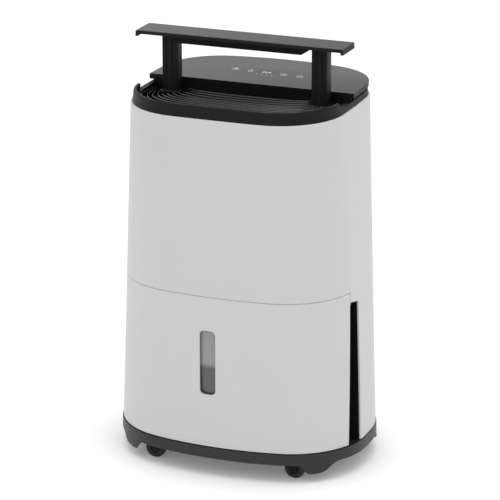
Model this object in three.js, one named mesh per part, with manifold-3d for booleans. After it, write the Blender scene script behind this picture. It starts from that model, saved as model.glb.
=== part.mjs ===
// A compressor dehumidifier on castors: tapered white casing, black base and top, a lift-up carrying
// handle, a pull-out water tank, a rear filter cover, and the refrigeration and fan parts inside.
// Millimetres, +Z up. The front faces -Y. The origin is on the floor under the middle of the box.
import * as THREE from "three";
import { mergeVertices } from "three/addons/utils/BufferGeometryUtils.js";
import Module from "manifold-3d";

const wasm = await Module();
wasm.setup();

// ---------------------------------------------------------------- driving dimensions
const GAP = 0.4; // running gap left between neighbouring pieces
const WALL = 2.6; // wall of the white casing

// Heights of the main levels
const SKIRT_Z = 28; // underside of the base between the castor guards
const GUARD_Z = 13; // underside of the castor guards
const BODY_Z = 45; // bottom edge of the white casing
const TANK_Z = 273; // top edge of the tank front
const COVER_Z = 533; // top edge of the white casing
const RING_Z = 541; // top of the black ring where it is low
const GRILLE_Z = 545; // top of the outlet vanes at the front
const TROUGH_Z = 537.3; // top of the vanes under the carrying handle
const GRILLE_FOOT_Z = 531; // underside of the outlet grille
const UPSTAND_Z = 550.5; // top of the raised front of the ring
const PANEL_Z = 552.3; // top of the control panel
const LIFT = 75; // travel of the carrying handle
const HANDLE_Z = PANEL_Z + LIFT; // top of the handle plate when it is up

// Plan outline: the widest line of the body lies at WIDEST_Y, and each half has a face arc,
// a corner arc and a nearly flat side arc. The outline is given at the floor and at REF_Z.
const WIDEST_Y = -16.9;
const REF_Z = 500;
const FOOT_PLAN = {
  halfWidth: 189,
  sideRadius: 2400,
  front: { depth: 127.6, faceRadius: 445, cornerRadius: 118 },
  rear: { depth: 153.2, faceRadius: 300, cornerRadius: 120 },
};
const HEAD_PLAN = {
  halfWidth: 161,
  sideRadius: 1900,
  front: { depth: 127.6, faceRadius: 1500, cornerRadius: 98 },
  rear: { depth: 162, faceRadius: 400, cornerRadius: 93 },
};

// Side line: the rear edge of the hand slots, from which the joint above them is set back
const SEAM_Y0 = -39.4;
const SEAM_LEAN = 0.061; // how far the line moves back for each millimetre of height
const SLOT_TOP_Z = 258; // roof of a hand slot at its front
const SLOT_TOP_REAR_Z = 251.7; // and at its rear
const COVER_STEP = 10; // how far behind the slot's rear edge the front cover ends
const SLOT_WIDTH = 28.4; // hand slot, front to back
const SLOT_DEPTH = 14; // how far the slot floor lies inside the skin

// Control panel and handle
const PANEL_FRONT_Y = -3.3;
const PLATE_FRONT_Y = -52;
const PLATE_BACK_Y = PANEL_FRONT_Y - 0.6;
const PLATE_THICK = 5;
const POST_IN_X = 102.5;
const POST_OUT_X = 125.5;
const POST_FRONT_Y = -29;
const POST_BACK_Y = -10.5;
const POST_FOOT_Z = 440;

// Tank
const WINDOW_X = -10.3;
const WINDOW_WIDTH = 24;
const WINDOW_Z0 = 125.2;
const WINDOW_Z1 = 221.7;
const TUB_HALF_WIDTH = 138;
const TUB_BACK_Y = -10;
const TUB_Z0 = 50;
const TUB_Z1 = 232;
const TUB_WALL = 2.4;
const FLOAT_PIN = [-45, -17, 224];

// Castors
const WHEEL_R = 15;
const WHEEL_WIDTH = 13;
const CASTOR_TRAIL = 12; // the wheel's axle stands this far outboard of the swivel
const CASTOR_X = 97;
const CASTOR_FRONT_Y = -102;
const CASTOR_REAR_Y = 82;

// Fan
const FAN_X = 0;
const FAN_Z = 385;
const FAN_R = 66;
const SCROLL_Y0 = -52;
const SCROLL_Y1 = -1;

// ---------------------------------------------------------------- materials
const plastic = (color, roughness) => new THREE.MeshStandardMaterial({ color, roughness, metalness: 0 });
const metal = (color, roughness) => new THREE.MeshStandardMaterial({ color, roughness, metalness: 1 });
const WHITE = plastic(0xe4e4e3, 0.42);
const BLACK = plastic(0x232325, 0.5);
const PANEL_GREY = plastic(0x5f6063, 0.38);
const INNER_BLACK = plastic(0x1b1b1c, 0.6);
const CLEAR_GREY = new THREE.MeshStandardMaterial({
  color: 0xaab0b4,
  roughness: 0.2,
  transparent: true,
  opacity: 0.45,
});
const NATURAL = plastic(0xd8d8d2, 0.5);
const RUBBER = plastic(0x161616, 0.85);
const STEEL = metal(0xb9bcc0, 0.35);
const PAINTED = plastic(0x17181a, 0.35);
const COPPER = metal(0xb8703f, 0.3);
const FINS = metal(0xcfd3d6, 0.4);
const BOARD_GREEN = plastic(0x1f5a3a, 0.5);
const FOAM = plastic(0xf2f1ec, 0.9);
const MESH_GREY = plastic(0x3a3b3d, 0.8);

// ---------------------------------------------------------------- solids
// A closed three.js geometry as a manifold solid.
function solid(geometry) {
  const bare = geometry.clone();
  bare.deleteAttribute("normal");
  bare.deleteAttribute("uv");
  const merged = mergeVertices(bare, 1e-4);
  const mesh = new wasm.Mesh({
    numProp: 3,
    vertProperties: merged.attributes.position.array,
    triVerts: new Uint32Array(merged.index.array),
  });
  return new wasm.Manifold(mesh);
}

// A manifold solid as a three.js geometry with flat faces.
function geometryOf(body) {
  const mesh = body.getMesh();
  const geometry = new THREE.BufferGeometry();
  geometry.setAttribute("position", new THREE.BufferAttribute(new Float32Array(mesh.vertProperties), 3));
  geometry.setIndex(new THREE.BufferAttribute(new Uint32Array(mesh.triVerts), 1));
  const flat = geometry.toNonIndexed();
  flat.computeVertexNormals();
  return flat;
}

const join = (first, ...rest) => rest.reduce((whole, piece) => whole.add(piece), first);
const cut = (first, ...rest) => rest.reduce((whole, piece) => whole.subtract(piece), first);
const common = (first, ...rest) => rest.reduce((whole, piece) => whole.intersect(piece), first);

function box(x0, x1, y0, y1, z0, z1) {
  const geometry = new THREE.BoxGeometry(x1 - x0, y1 - y0, z1 - z0);
  geometry.translate((x0 + x1) / 2, (y0 + y1) / 2, (z0 + z1) / 2);
  return solid(geometry);
}

// Turns +Z of a geometry onto a row axis, then moves it.
function placed(geometry, axis, at) {
  if (axis === "x") geometry.rotateY(Math.PI / 2);
  if (axis === "y") geometry.rotateX(-Math.PI / 2);
  geometry.translate(at[0], at[1], at[2]);
  return geometry;
}

// A cylinder of radius r from `at` for `length` along a row axis.
function rod(r, length, axis, at, sides = 20) {
  const geometry = new THREE.CylinderGeometry(r, r, length, sides);
  geometry.rotateX(Math.PI / 2);
  geometry.translate(0, 0, length / 2);
  return solid(placed(geometry, axis, at));
}

// A turned solid: profile points are [radius, height] from the axis back to the axis.
function turned(profile, axis, at, sides = 24) {
  const points = profile.map(([r, h]) => new THREE.Vector2(r, h));
  const geometry = new THREE.LatheGeometry(points, sides);
  geometry.rotateX(Math.PI / 2);
  return solid(placed(geometry, axis, at));
}

function shapeOf(points) {
  return new THREE.Shape(points.map(([u, v]) => new THREE.Vector2(u, v)));
}

// A prism over a plan outline, from z0 to z1.
function prismZ(points, z0, z1) {
  const geometry = new THREE.ExtrudeGeometry(shapeOf(points), { depth: z1 - z0, bevelEnabled: false });
  geometry.translate(0, 0, z0);
  return solid(geometry);
}

// A prism over a side outline of [y, z] points, from x0 to x1.
function prismX(points, x0, x1) {
  const geometry = new THREE.ExtrudeGeometry(shapeOf(points), { depth: x1 - x0, bevelEnabled: false });
  const turn = new THREE.Matrix4().makeBasis(
    new THREE.Vector3(0, 1, 0),
    new THREE.Vector3(0, 0, 1),
    new THREE.Vector3(1, 0, 0),
  );
  geometry.applyMatrix4(turn);
  geometry.translate(x0, 0, 0);
  return solid(geometry);
}

// A prism over a front outline of [x, z] points, from y0 to y1.
function prismY(points, y0, y1) {
  const geometry = new THREE.ExtrudeGeometry(shapeOf(points), { depth: y1 - y0, bevelEnabled: false });
  const turn = new THREE.Matrix4().makeBasis(
    new THREE.Vector3(1, 0, 0),
    new THREE.Vector3(0, 0, 1),
    new THREE.Vector3(0, -1, 0),
  );
  geometry.applyMatrix4(turn);
  geometry.translate(0, y1, 0);
  return solid(geometry);
}

// A rectangle with rounded corners as outline points.
function roundedRect(u0, u1, v0, v1, r, steps = 4) {
  const corners = [
    [u1 - r, v0 + r, -Math.PI / 2],
    [u1 - r, v1 - r, 0],
    [u0 + r, v1 - r, Math.PI / 2],
    [u0 + r, v0 + r, Math.PI],
  ];
  return corners.flatMap(([u, v, start]) =>
    Array.from({ length: steps + 1 }, (_, i) => {
      const angle = start + (i * Math.PI) / 2 / steps;
      return [u + r * Math.cos(angle), v + r * Math.sin(angle)];
    }),
  );
}

// A round tube bent along points, as pipework is.
function tube(points, r, sides = 4, steps = 20) {
  const curve = new THREE.CatmullRomCurve3(
    points.map((p) => new THREE.Vector3(...p)),
    false,
    "catmullrom",
    0.3,
  );
  const section = new THREE.Shape();
  section.absarc(0, 0, r, 0, Math.PI * 2);
  const geometry = new THREE.ExtrudeGeometry(section, {
    steps,
    curveSegments: sides,
    extrudePath: curve,
    bevelEnabled: false,
  });
  return solid(geometry);
}

// ---------------------------------------------------------------- the body's tapered surface
const FACE_STEPS = 4;
const CORNER_STEPS = 6;
const SIDE_STEPS = 1;

function arcPoints(centre, radius, from, to, steps) {
  return Array.from({ length: steps }, (_, i) => {
    const angle = from + ((to - from) * i) / steps;
    return [centre[0] + radius * Math.cos(angle), centre[1] + radius * Math.sin(angle)];
  });
}

// One quarter of the outline, from the centre line to just before the widest point, with y measured
// outwards from the widest line. The corner arc touches the face arc and the side arc.
function quarter(halfWidth, sideRadius, { depth, faceRadius, cornerRadius }, inset) {
  const faceR = faceRadius - inset;
  const sideR = sideRadius - inset;
  const cornerR = Math.max(cornerRadius - inset, 3);
  const face = [0, depth - faceRadius];
  const side = [halfWidth - sideRadius, 0];
  const dx = side[0] - face[0];
  const dy = side[1] - face[1];
  const span = Math.hypot(dx, dy);
  const toFace = faceR - cornerR;
  const toSide = sideR - cornerR;
  const along = (toFace ** 2 - toSide ** 2 + span ** 2) / (2 * span);
  const off = Math.sqrt(Math.max(toFace ** 2 - along ** 2, 0));
  const candidates = [1, -1].map((way) => [
    face[0] + (along * dx - way * off * dy) / span,
    face[1] + (along * dy + way * off * dx) / span,
  ]);
  const corner = candidates.sort((a, b) => b[0] + b[1] - a[0] - a[1])[0];
  const faceEnd = Math.atan2(corner[1] - face[1], corner[0] - face[0]);
  const sideStart = Math.atan2(corner[1] - side[1], corner[0] - side[0]);
  return [
    ...arcPoints(face, faceR, Math.PI / 2, faceEnd, FACE_STEPS),
    ...arcPoints(corner, cornerR, faceEnd, sideStart, CORNER_STEPS),
    ...arcPoints(side, sideR, sideStart, 0, SIDE_STEPS),
  ];
}

// The whole outline of one plan, anticlockwise from the middle of the front.
function outline(plan, inset) {
  const front = quarter(plan.halfWidth, plan.sideRadius, plan.front, inset);
  const rear = quarter(plan.halfWidth, plan.sideRadius, plan.rear, inset);
  const widest = plan.halfWidth - inset;
  const right = [
    ...front.map(([x, y]) => [x, -y]),
    [widest, 0],
    ...rear.slice(1).reverse(),
    rear[0],
  ];
  const left = right.slice(1, -1).reverse().map(([x, y]) => [-x, y]);
  return [...right, ...left].map(([x, y]) => [x, y + WIDEST_Y]);
}

// The outline at any height, set in from the skin by `inset`.
function skinOutline(z, inset) {
  const foot = outline(FOOT_PLAN, inset);
  const head = outline(HEAD_PLAN, inset);
  const share = z / REF_Z;
  return foot.map(([x, y], i) => [x + (head[i][0] - x) * share, y + (head[i][1] - y) * share]);
}

// A closed solid through a stack of outlines with equal numbers of points: levels are [z, inset].
function skin(...levels) {
  const loops = levels.map(([z, inset]) => skinOutline(z, inset).map(([x, y]) => [x, y, z]));
  const count = loops[0].length;
  const positions = loops.flat(2);
  const index = [];
  for (let level = 0; level + 1 < loops.length; level += 1) {
    for (let i = 0; i < count; i += 1) {
      const a = level * count + i;
      const b = level * count + ((i + 1) % count);
      index.push(a, b, b + count, a, b + count, a + count);
    }
  }
  const cap = (loop) => THREE.ShapeUtils.triangulateShape(
    loop.map(([x, y]) => new THREE.Vector2(x, y)),
    [],
  );
  const last = (loops.length - 1) * count;
  cap(loops[0]).forEach(([a, b, c]) => index.push(a, c, b));
  cap(loops.at(-1)).forEach(([a, b, c]) => index.push(last + a, last + b, last + c));
  const geometry = new THREE.BufferGeometry();
  geometry.setAttribute("position", new THREE.Float32BufferAttribute(positions, 3));
  geometry.setIndex(index);
  return solid(geometry);
}

// A ring of the casing between two heights and two insets, outer first.
function wallRing(z0, z1, outer, inner) {
  return cut(skin([z0, outer], [z1, outer]), skin([z0 - 1, inner], [z1 + 1, inner]));
}

// Everything on one side of a line that leans with the seam.
const FAR = 400;
const seamY = (z) => SEAM_Y0 + SEAM_LEAN * z;
const TALL = 700;
function behindSeam(offset) {
  return prismX([[seamY(0) + offset, 0], [FAR, 0], [FAR, TALL], [seamY(TALL) + offset, TALL]], -FAR, FAR);
}
function beforeSeam(offset) {
  return prismX([[-FAR, 0], [seamY(0) + offset, 0], [seamY(TALL) + offset, TALL], [-FAR, TALL]], -FAR, FAR);
}

// ---------------------------------------------------------------- assembly helpers
const group = new THREE.Group();
function part(name, body, material) {
  const mesh = new THREE.Mesh(geometryOf(body), material);
  mesh.name = name;
  group.add(mesh);
  return mesh;
}

// ---------------------------------------------------------------- casing
// The notch between two castor guards: a flat top with an S-shaped run down at each end.
function guardNotch(u0, u1, run) {
  const steps = 6;
  const rise = Array.from({ length: steps + 1 }, (_, i) => {
    const share = i / steps;
    const height = (SKIRT_Z - GUARD_Z + 2) * (0.5 - 0.5 * Math.cos(Math.PI * share));
    return [run * share, GUARD_Z - 2 + height];
  });
  const left = rise.map(([along, z]) => [u0 + along, z]);
  const right = rise.map(([along, z]) => [u1 - along, z]).reverse();
  return [[u0, 0], ...left, ...right, [u1, 0]];
}

const BASE_TOP = 5.6; // thickness of the base's deck
const CASTOR_SPOTS = [
  ["front_right", 1, CASTOR_FRONT_Y],
  ["front_left", -1, CASTOR_FRONT_Y],
  ["rear_right", 1, CASTOR_REAR_Y],
  ["rear_left", -1, CASTOR_REAR_Y],
];
function basePan() {
  const proud = -1.2;
  const deckZ = BODY_Z - GAP - BASE_TOP;
  const block = skin([GUARD_Z, 0.6], [GUARD_Z + 4, proud], [BODY_Z - GAP, proud]);
  const inside = skin([GUARD_Z - 1, 2.8], [deckZ, 2.8]);
  const frontNotch = prismY(guardNotch(-136, 136, 14), -FAR, FAR);
  const sideNotch = prismX(guardNotch(-110, 58, 26), -FAR, FAR);
  const shell = cut(block, inside, frontNotch, sideNotch);
  const sockets = CASTOR_SPOTS.map(([, side, y]) => rod(15, 5, "z", [side * CASTOR_X, y, deckZ - 4], 16));
  const bores = CASTOR_SPOTS.map(([, side, y]) => rod(4.4, 12, "z", [side * CASTOR_X, y, deckZ - 7.5], 12));
  return cut(join(shell, ...sockets), ...bores);
}

function frontCover() {
  const shell = common(wallRing(SLOT_TOP_REAR_Z, COVER_Z, 0, WALL), beforeSeam(COVER_STEP - GAP));
  const tankSpace = common(box(-FAR, FAR, -FAR, FAR, 0, TANK_Z + GAP), beforeSeam(-SLOT_WIDTH + GAP));
  const slotRear = seamY(SLOT_TOP_REAR_Z);
  const slotSpace = prismX(
    [
      [-FAR, 0],
      [slotRear, 0],
      [slotRear, SLOT_TOP_REAR_Z],
      [slotRear - SLOT_WIDTH, SLOT_TOP_Z],
      [-FAR, SLOT_TOP_Z],
    ],
    -FAR,
    FAR,
  );
  return cut(shell, tankSpace, slotSpace);
}

function windowPrism(grow, y0, y1) {
  const half = WINDOW_WIDTH / 2 + grow;
  const outlinePoints = roundedRect(
    WINDOW_X - half,
    WINDOW_X + half,
    WINDOW_Z0 - grow,
    WINDOW_Z1 + grow,
    5 + grow,
  );
  return prismY(outlinePoints, y0, y1);
}

const TANK_WALL = 3;
function tankFront() {
  const shell = wallRing(BODY_Z + 0.6, TANK_Z - GAP, 0, TANK_WALL);
  const front = common(shell, beforeSeam(-SLOT_WIDTH));
  return cut(front, windowPrism(0, -FAR, -60));
}

const INLET_X = 62;
const INLET_Z = 70;
const DRAIN_X = -62;
const DRAIN_Z = 92;
const FILTER_HALF_WIDTH = 104;
const FILTER_Z0 = 286;
const FILTER_Z1 = 505;
function rearShell() {
  const shell = common(wallRing(BODY_Z + GAP, COVER_Z, 0, WALL), behindSeam(0));
  const coverSpace = common(box(-FAR, FAR, -FAR, FAR, SLOT_TOP_REAR_Z - GAP, TALL), beforeSeam(COVER_STEP));
  const opening = box(-FILTER_HALF_WIDTH, FILTER_HALF_WIDTH, 60, FAR, FILTER_Z0, FILTER_Z1);
  const inletHole = rod(9, 90, "y", [INLET_X, 60, INLET_Z], 20);
  const drainHole = rod(11, 90, "y", [DRAIN_X, 60, DRAIN_Z], 20);
  return cut(shell, coverSpace, opening, inletHole, drainHole);
}

// The filter cover fills the opening in the rear shell, and its louvres are rows of slots.
function filterCover() {
  const half = FILTER_HALF_WIDTH - 0.6;
  const shell = common(
    wallRing(FILTER_Z0 + 0.6, FILTER_Z1 - 0.6, 0, WALL),
    box(-half, half, 60, FAR, FILTER_Z0, FILTER_Z1),
  );
  const slots = [];
  const columnWidth = 90;
  const pitch = 24;
  for (let row = 0; row < 8; row += 1) {
    const z = FILTER_Z0 + 18 + row * pitch;
    for (const x of [-94, 4]) {
      slots.push(box(x, x + columnWidth, 60, FAR, z, z + 13));
    }
  }
  return cut(shell, ...slots);
}

function topFrame() {
  const foot = skin([COVER_Z + GAP, 2.3], [COVER_Z + 3.5, 2.6], [RING_Z, 3.2]);
  const ring = cut(foot, skin([COVER_Z, 12], [RING_Z + 1, 12]));
  const upstand = common(
    cut(skin([RING_Z - 0.5, 3.2], [UPSTAND_Z - 2, 3.7], [UPSTAND_Z, 5]), skin([RING_Z - 2, 8.5], [UPSTAND_Z + 1, 8.5])),
    box(-FAR, FAR, -FAR, PLATE_FRONT_Y - 0.6, 0, TALL),
  );
  const deck = common(
    skin([COVER_Z + GAP, 8], [COVER_Z + 3, 8]),
    box(-FAR, FAR, PANEL_FRONT_Y + 2, FAR, 0, TALL),
  );
  const neck = common(
    cut(skin([COVER_Z + 2, 7], [PANEL_Z - 8.4, 7]), skin([COVER_Z + 1, 10], [PANEL_Z, 10])),
    box(-FAR, FAR, PANEL_FRONT_Y + 2, FAR, 0, TALL),
  );
  const apron = common(
    skin([COVER_Z + GAP, 8], [PANEL_Z - 8.4, 8]),
    box(-FAR, FAR, PANEL_FRONT_Y + 1, PANEL_FRONT_Y + 4, 0, TALL),
  );
  return join(ring, upstand, deck, neck, apron);
}

function controlPanel() {
  const behind = box(-FAR, FAR, PANEL_FRONT_Y, FAR, 0, TALL);
  const plate = common(skin([PANEL_Z - 8, 2], [PANEL_Z - 1, 1], [PANEL_Z, 2]), behind);
  const pocket = box(-82, 82, 22, 104, PANEL_Z - 12, PANEL_Z - 2.4);
  return cut(plate, pocket, prismZ(roundedRect(-9.4, 9.4, 56.6, 66.6, 1.5), PANEL_Z - 4, PANEL_Z + 1));
}

function displayLens() {
  return prismZ(roundedRect(-9, 9, 57, 66.2, 1.2), PANEL_Z - 2.4, PANEL_Z + 0.1);
}

// ---------------------------------------------------------------- outlet grille
const VANES = 10;
const VANE_THICK = 1.7;
const VANE_END_Y = PANEL_FRONT_Y - 1.5;
const GRILLE_FRONT_Y = -129;
const vaneHalfWidth = (k) => 140 - 5 * k;
const vaneFrontY = (k) => -126 + 12 * k;
const vanePower = (k) => 3 - 0.05 * k;

// One side of a vane's path, set in by `inset`: a superellipse from the left end to the right end.
function vanePath(k, inset) {
  const half = vaneHalfWidth(k) - inset;
  const depth = VANE_END_Y - vaneFrontY(k) - inset;
  const power = vanePower(k);
  const steps = 12;
  return Array.from({ length: steps + 1 }, (_, i) => {
    const angle = Math.PI - (i * Math.PI) / steps;
    const c = Math.cos(angle);
    const s = Math.sin(angle);
    const x = half * Math.sign(c) * Math.abs(c) ** (2 / power);
    return [x, VANE_END_Y - depth * Math.abs(s) ** (2 / power)];
  });
}

const POST_SIDES = [-1, 1];
// The rectangle of a post, grown all round, on one side of the machine.
function postBox(side, grow, z0, z1) {
  const x0 = POST_IN_X - grow;
  const x1 = POST_OUT_X + grow;
  const [low, high] = side > 0 ? [x0, x1] : [-x1, -x0];
  return box(low, high, POST_FRONT_Y - grow, POST_BACK_Y + grow, z0, z1);
}

function outletGrille() {
  const vaneFoot = GRILLE_FOOT_Z + 2;
  const inside = skin([GRILLE_FOOT_Z - 1, 13], [GRILLE_Z + 1, 13]);
  const rim = common(
    cut(skin([GRILLE_FOOT_Z, 12.4], [GRILLE_Z - 0.8, 12.4]), skin([GRILLE_FOOT_Z - 1, 15], [GRILLE_Z + 1, 15])),
    box(-FAR, FAR, -FAR, VANE_END_Y - 0.3, 0, TALL),
  );
  const vanes = Array.from({ length: VANES }, (_, k) => {
    const outer = vanePath(k, 0);
    const inner = vanePath(k, VANE_THICK).reverse();
    return prismZ([...outer, ...inner], vaneFoot, GRILLE_Z);
  });
  const ribs = [-68, 1, 70].map((x) => box(x - 1, x + 1, -FAR, VANE_END_Y - 0.9, GRILLE_FOOT_Z + 0.4, vaneFoot + 2));
  const tie = box(-FAR, FAR, VANE_END_Y - 2.4, VANE_END_Y + 0.4, GRILLE_FOOT_Z + 0.7, GRILLE_Z - 2);
  const supports = common(join(...ribs, tie), inside);
  const collars = POST_SIDES.map((side) => postBox(side, 3.4, GRILLE_FOOT_Z + 0.2, GRILLE_Z - 0.5));
  const bores = POST_SIDES.map((side) => postBox(side, 0.5, GRILLE_FOOT_Z - 20, GRILLE_Z + 20));
  // The top slopes down to the rear, which leaves room for the handle's beam when the handle is down.
  const slope = prismX(
    [
      [PLATE_FRONT_Y + 1.5, TROUGH_Z],
      [FAR, TROUGH_Z],
      [FAR, TALL],
      [GRILLE_FRONT_Y, TALL],
      [GRILLE_FRONT_Y, GRILLE_Z],
    ],
    -FAR,
    FAR,
  );
  return cut(join(rim, ...vanes, supports, ...collars), slope, ...bores);
}

// ---------------------------------------------------------------- carrying handle
// The plate is drawn flush with the panel, where its rim follows the body's outline, then raised.
function handlePlate() {
  const band = box(-FAR, FAR, PLATE_FRONT_Y, PLATE_BACK_Y, 0, TALL);
  const plate = skin([PANEL_Z - PLATE_THICK, 1], [PANEL_Z - 0.8, 1], [PANEL_Z, 1.8]);
  const rim = cut(
    skin([PANEL_Z - 8.2, 0.4], [PANEL_Z - 4, 1]),
    skin([PANEL_Z - 10, 4.6], [PANEL_Z, 4.6]),
  );
  const raised = common(join(plate, rim), band).translate([0, 0, LIFT]);
  const beamTop = HANDLE_Z - 1;
  const beamShoulder = HANDLE_Z - PLATE_THICK - 4;
  const beamLow = HANDLE_Z - 14.3;
  const beam = prismY(
    [
      [-POST_IN_X, beamShoulder],
      [-POST_IN_X + 9, beamLow],
      [POST_IN_X - 9, beamLow],
      [POST_IN_X, beamShoulder],
      [POST_IN_X, beamTop],
      [-POST_IN_X, beamTop],
    ],
    PLATE_FRONT_Y + 3,
    PLATE_BACK_Y - 6,
  );
  const seats = POST_SIDES.map((side) =>
    postBox(side, GAP, HANDLE_Z - 40, HANDLE_Z - PLATE_THICK + 2),
  );
  return cut(join(raised, beam), ...seats);
}

function handlePost(side) {
  const shaft = postBox(side, 0, POST_FOOT_Z, HANDLE_Z - PLATE_THICK + 1.6);
  const stop = postBox(side, 3, POST_FOOT_Z, POST_FOOT_Z + 5);
  const grooves = [7, 16].map((from) => {
    const x = side * (POST_IN_X + from);
    return box(x - 1, x + 1, POST_FRONT_Y - 1, POST_FRONT_Y + 1.4, POST_FOOT_Z + 8, HANDLE_Z - 14);
  });
  return cut(join(shaft, stop), ...grooves);
}

function postGuide(side) {
  const z0 = POST_FOOT_Z + 5.5;
  const z1 = GRILLE_FOOT_Z - 0.5;
  const sleeve = join(postBox(side, 3.2, z0, z1), postBox(side, 7, z1 - 3, z1));
  return cut(sleeve, postBox(side, 0.5, z0 - 1, z1 + 1));
}

// ---------------------------------------------------------------- inner chassis and hand slots
const BAY_TOP_Z = 275;
const BAY_BACK_Y = 0;
const DECK_THICK = 3;
function innerChassis() {
  const slotTop = SLOT_TOP_Z + 3.6;
  const z0 = BODY_Z + 0.3;
  const floorWall = wallRing(z0, slotTop, SLOT_DEPTH, SLOT_DEPTH + 2.6);
  const slotBand = common(beforeSeam(4), behindSeam(-SLOT_WIDTH - 14));
  const floors = common(floorWall, slotBand);
  const rearWalls = common(
    wallRing(z0, slotTop, WALL + 0.7, SLOT_DEPTH + 2.6),
    behindSeam(1),
    beforeSeam(4),
  );
  const lid = common(
    wallRing(slotTop - 2.6, slotTop, WALL + 0.7, SLOT_DEPTH + 2.6),
    behindSeam(-SLOT_WIDTH - 14),
    beforeSeam(4),
  );
  const deck = common(
    skin([BAY_TOP_Z, SLOT_DEPTH], [BAY_TOP_Z + DECK_THICK, SLOT_DEPTH]),
    box(-FAR, FAR, -FAR, 134, 0, TALL),
  );
  const backWall = common(
    skin([z0, SLOT_DEPTH], [BAY_TOP_Z + 1, SLOT_DEPTH]),
    box(-FAR, FAR, BAY_BACK_Y, BAY_BACK_Y + DECK_THICK, 0, TALL),
  );
  const cheeks = common(
    wallRing(z0, BAY_TOP_Z + 1, SLOT_DEPTH, SLOT_DEPTH + 2.6),
    behindSeam(0),
    box(-FAR, FAR, -FAR, BAY_BACK_Y + 1, 0, TALL),
  );
  const upperFloors = common(
    wallRing(slotTop - 1, BAY_TOP_Z + 1, SLOT_DEPTH, SLOT_DEPTH + 2.6),
    slotBand,
  );
  const tray = join(floors, rearWalls, lid, deck, backWall, cheeks, upperFloors);
  const drip = rod(9, 20, "z", [60, -40, BAY_TOP_Z - 5], 16);
  const pipeSlot = box(-128, -111, 68, 114, BAY_TOP_Z - 5, BAY_TOP_Z + 10);
  return cut(tray, drip, pipeSlot);
}

// ---------------------------------------------------------------- water tank
function tankTub() {
  const outer = common(
    skin([TUB_Z0, 6], [TUB_Z1, 6]),
    box(-TUB_HALF_WIDTH, TUB_HALF_WIDTH, -FAR, TUB_BACK_Y, 0, TALL),
  );
  const inner = common(
    skin([TUB_Z0 + TUB_WALL, 6 + TUB_WALL], [TUB_Z1 + 2, 6 + TUB_WALL]),
    box(
      -TUB_HALF_WIDTH + TUB_WALL,
      TUB_HALF_WIDTH - TUB_WALL,
      -FAR,
      TUB_BACK_Y - TUB_WALL,
      TUB_Z0 + TUB_WALL,
      TALL,
    ),
  );
  const bosses = [-1, 1].map((side) =>
    rod(5, 5.5, "x", [side > 0 ? TUB_HALF_WIDTH - 0.5 : -TUB_HALF_WIDTH - 5, BAIL_Y, BAIL_PIVOT_Z], 16),
  );
  const [pinX, pinY, pinZ] = FLOAT_PIN;
  const lugs = [-1, 1].map((side) => {
    const near = pinX + side * 11.5;
    const far = pinX + side * 16;
    return box(Math.min(near, far), Math.max(near, far), pinY - 4, TUB_BACK_Y - 1, pinZ - 5, pinZ + 5);
  });
  const pinBore = rod(2.4, 40, "x", [pinX - 20, pinY, pinZ], 12);
  return join(cut(outer, inner), ...bosses, cut(join(...lugs), pinBore));
}

function tankLid() {
  const z0 = TUB_Z1 + GAP;
  const plate = common(
    skin([z0, 7], [z0 + 3, 7]),
    box(-TUB_HALF_WIDTH + 1, TUB_HALF_WIDTH - 1, -FAR, TUB_BACK_Y - 1, 0, TALL),
  );
  const mouth = prismZ(roundedRect(35, 95, -70, -25, 8), z0 - 5, z0 + 10);
  const pourer = prismZ(roundedRect(-118, -82, -62, -34, 6), z0 - 5, z0 + 10);
  return cut(plate, mouth, pourer);
}

// The tank's own carrying bail lies flat over the lid and swings on the tub's side bosses.
const BAIL_Y = -72;
const BAIL_PIVOT_Z = TUB_Z1 - 8;
const BAIL_IN_X = TUB_HALF_WIDTH + 0.8;
const BAIL_OUT_X = BAIL_IN_X + 4;
function tankBail() {
  const gripY = BAIL_Y + 44;
  const gripZ = TUB_Z1 + 3;
  const side = [
    [BAIL_Y - 8, BAIL_PIVOT_Z - 8],
    [BAIL_Y + 8, BAIL_PIVOT_Z - 8],
    [gripY, gripZ],
    [gripY, gripZ + 6],
    [gripY - 14, gripZ + 6],
    [BAIL_Y - 8, BAIL_PIVOT_Z + 8],
  ];
  const arms = [prismX(side, BAIL_IN_X, BAIL_OUT_X), prismX(side, -BAIL_OUT_X, -BAIL_IN_X)];
  const grip = box(-BAIL_OUT_X, BAIL_OUT_X, gripY - 13, gripY, gripZ + 1, gripZ + 6);
  const bore = rod(5.3, 2 * BAIL_OUT_X + 2, "x", [-BAIL_OUT_X - 1, BAIL_Y, BAIL_PIVOT_Z], 20);
  const holes = common(bore, join(...arms));
  return cut(join(...arms, grip), holes);
}

// The float hangs on a pin between two lugs on the tub's back wall and rises with the water.
function tankFloat() {
  const [x, y, z] = FLOAT_PIN;
  const block = box(x - 13, x + 13, y - 34, y - 6, z - 30, z - 10);
  const arm = box(x - 4, x + 4, y - 8, y + 2, z - 24, z + 2.4);
  const pin = rod(2, 28, "x", [x - 14, y, z], 12);
  return join(block, arm, pin);
}

// ---------------------------------------------------------------- refrigeration
const COMPRESSOR = [-78, 66, 50];
function compressorPot() {
  const [x, y, z] = COMPRESSOR;
  return turned(
    [[0, 4], [38, 4], [46, 10], [50, 16], [50, 132], [46, 146], [34, 155], [14, 158], [0, 158]],
    "z",
    [x, y, z],
    22,
  );
}

function compressorFeet() {
  const [x, y, z] = COMPRESSOR;
  const arms = [0, 1, 2].map((i) => {
    const angle = -Math.PI / 2 + (i * 2 * Math.PI) / 3;
    return rod(10, 3, "z", [x + 50 * Math.cos(angle), y + 50 * Math.sin(angle), z], 16);
  });
  const plate = rod(47, 3, "z", [x, y, z], 28);
  return join(plate, ...arms);
}

function accumulator() {
  return turned(
    [[0, 0], [10, 0], [19, 8], [19, 92], [10, 102], [0, 102]],
    "z",
    [-6, 70, 88],
    20,
  );
}

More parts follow.
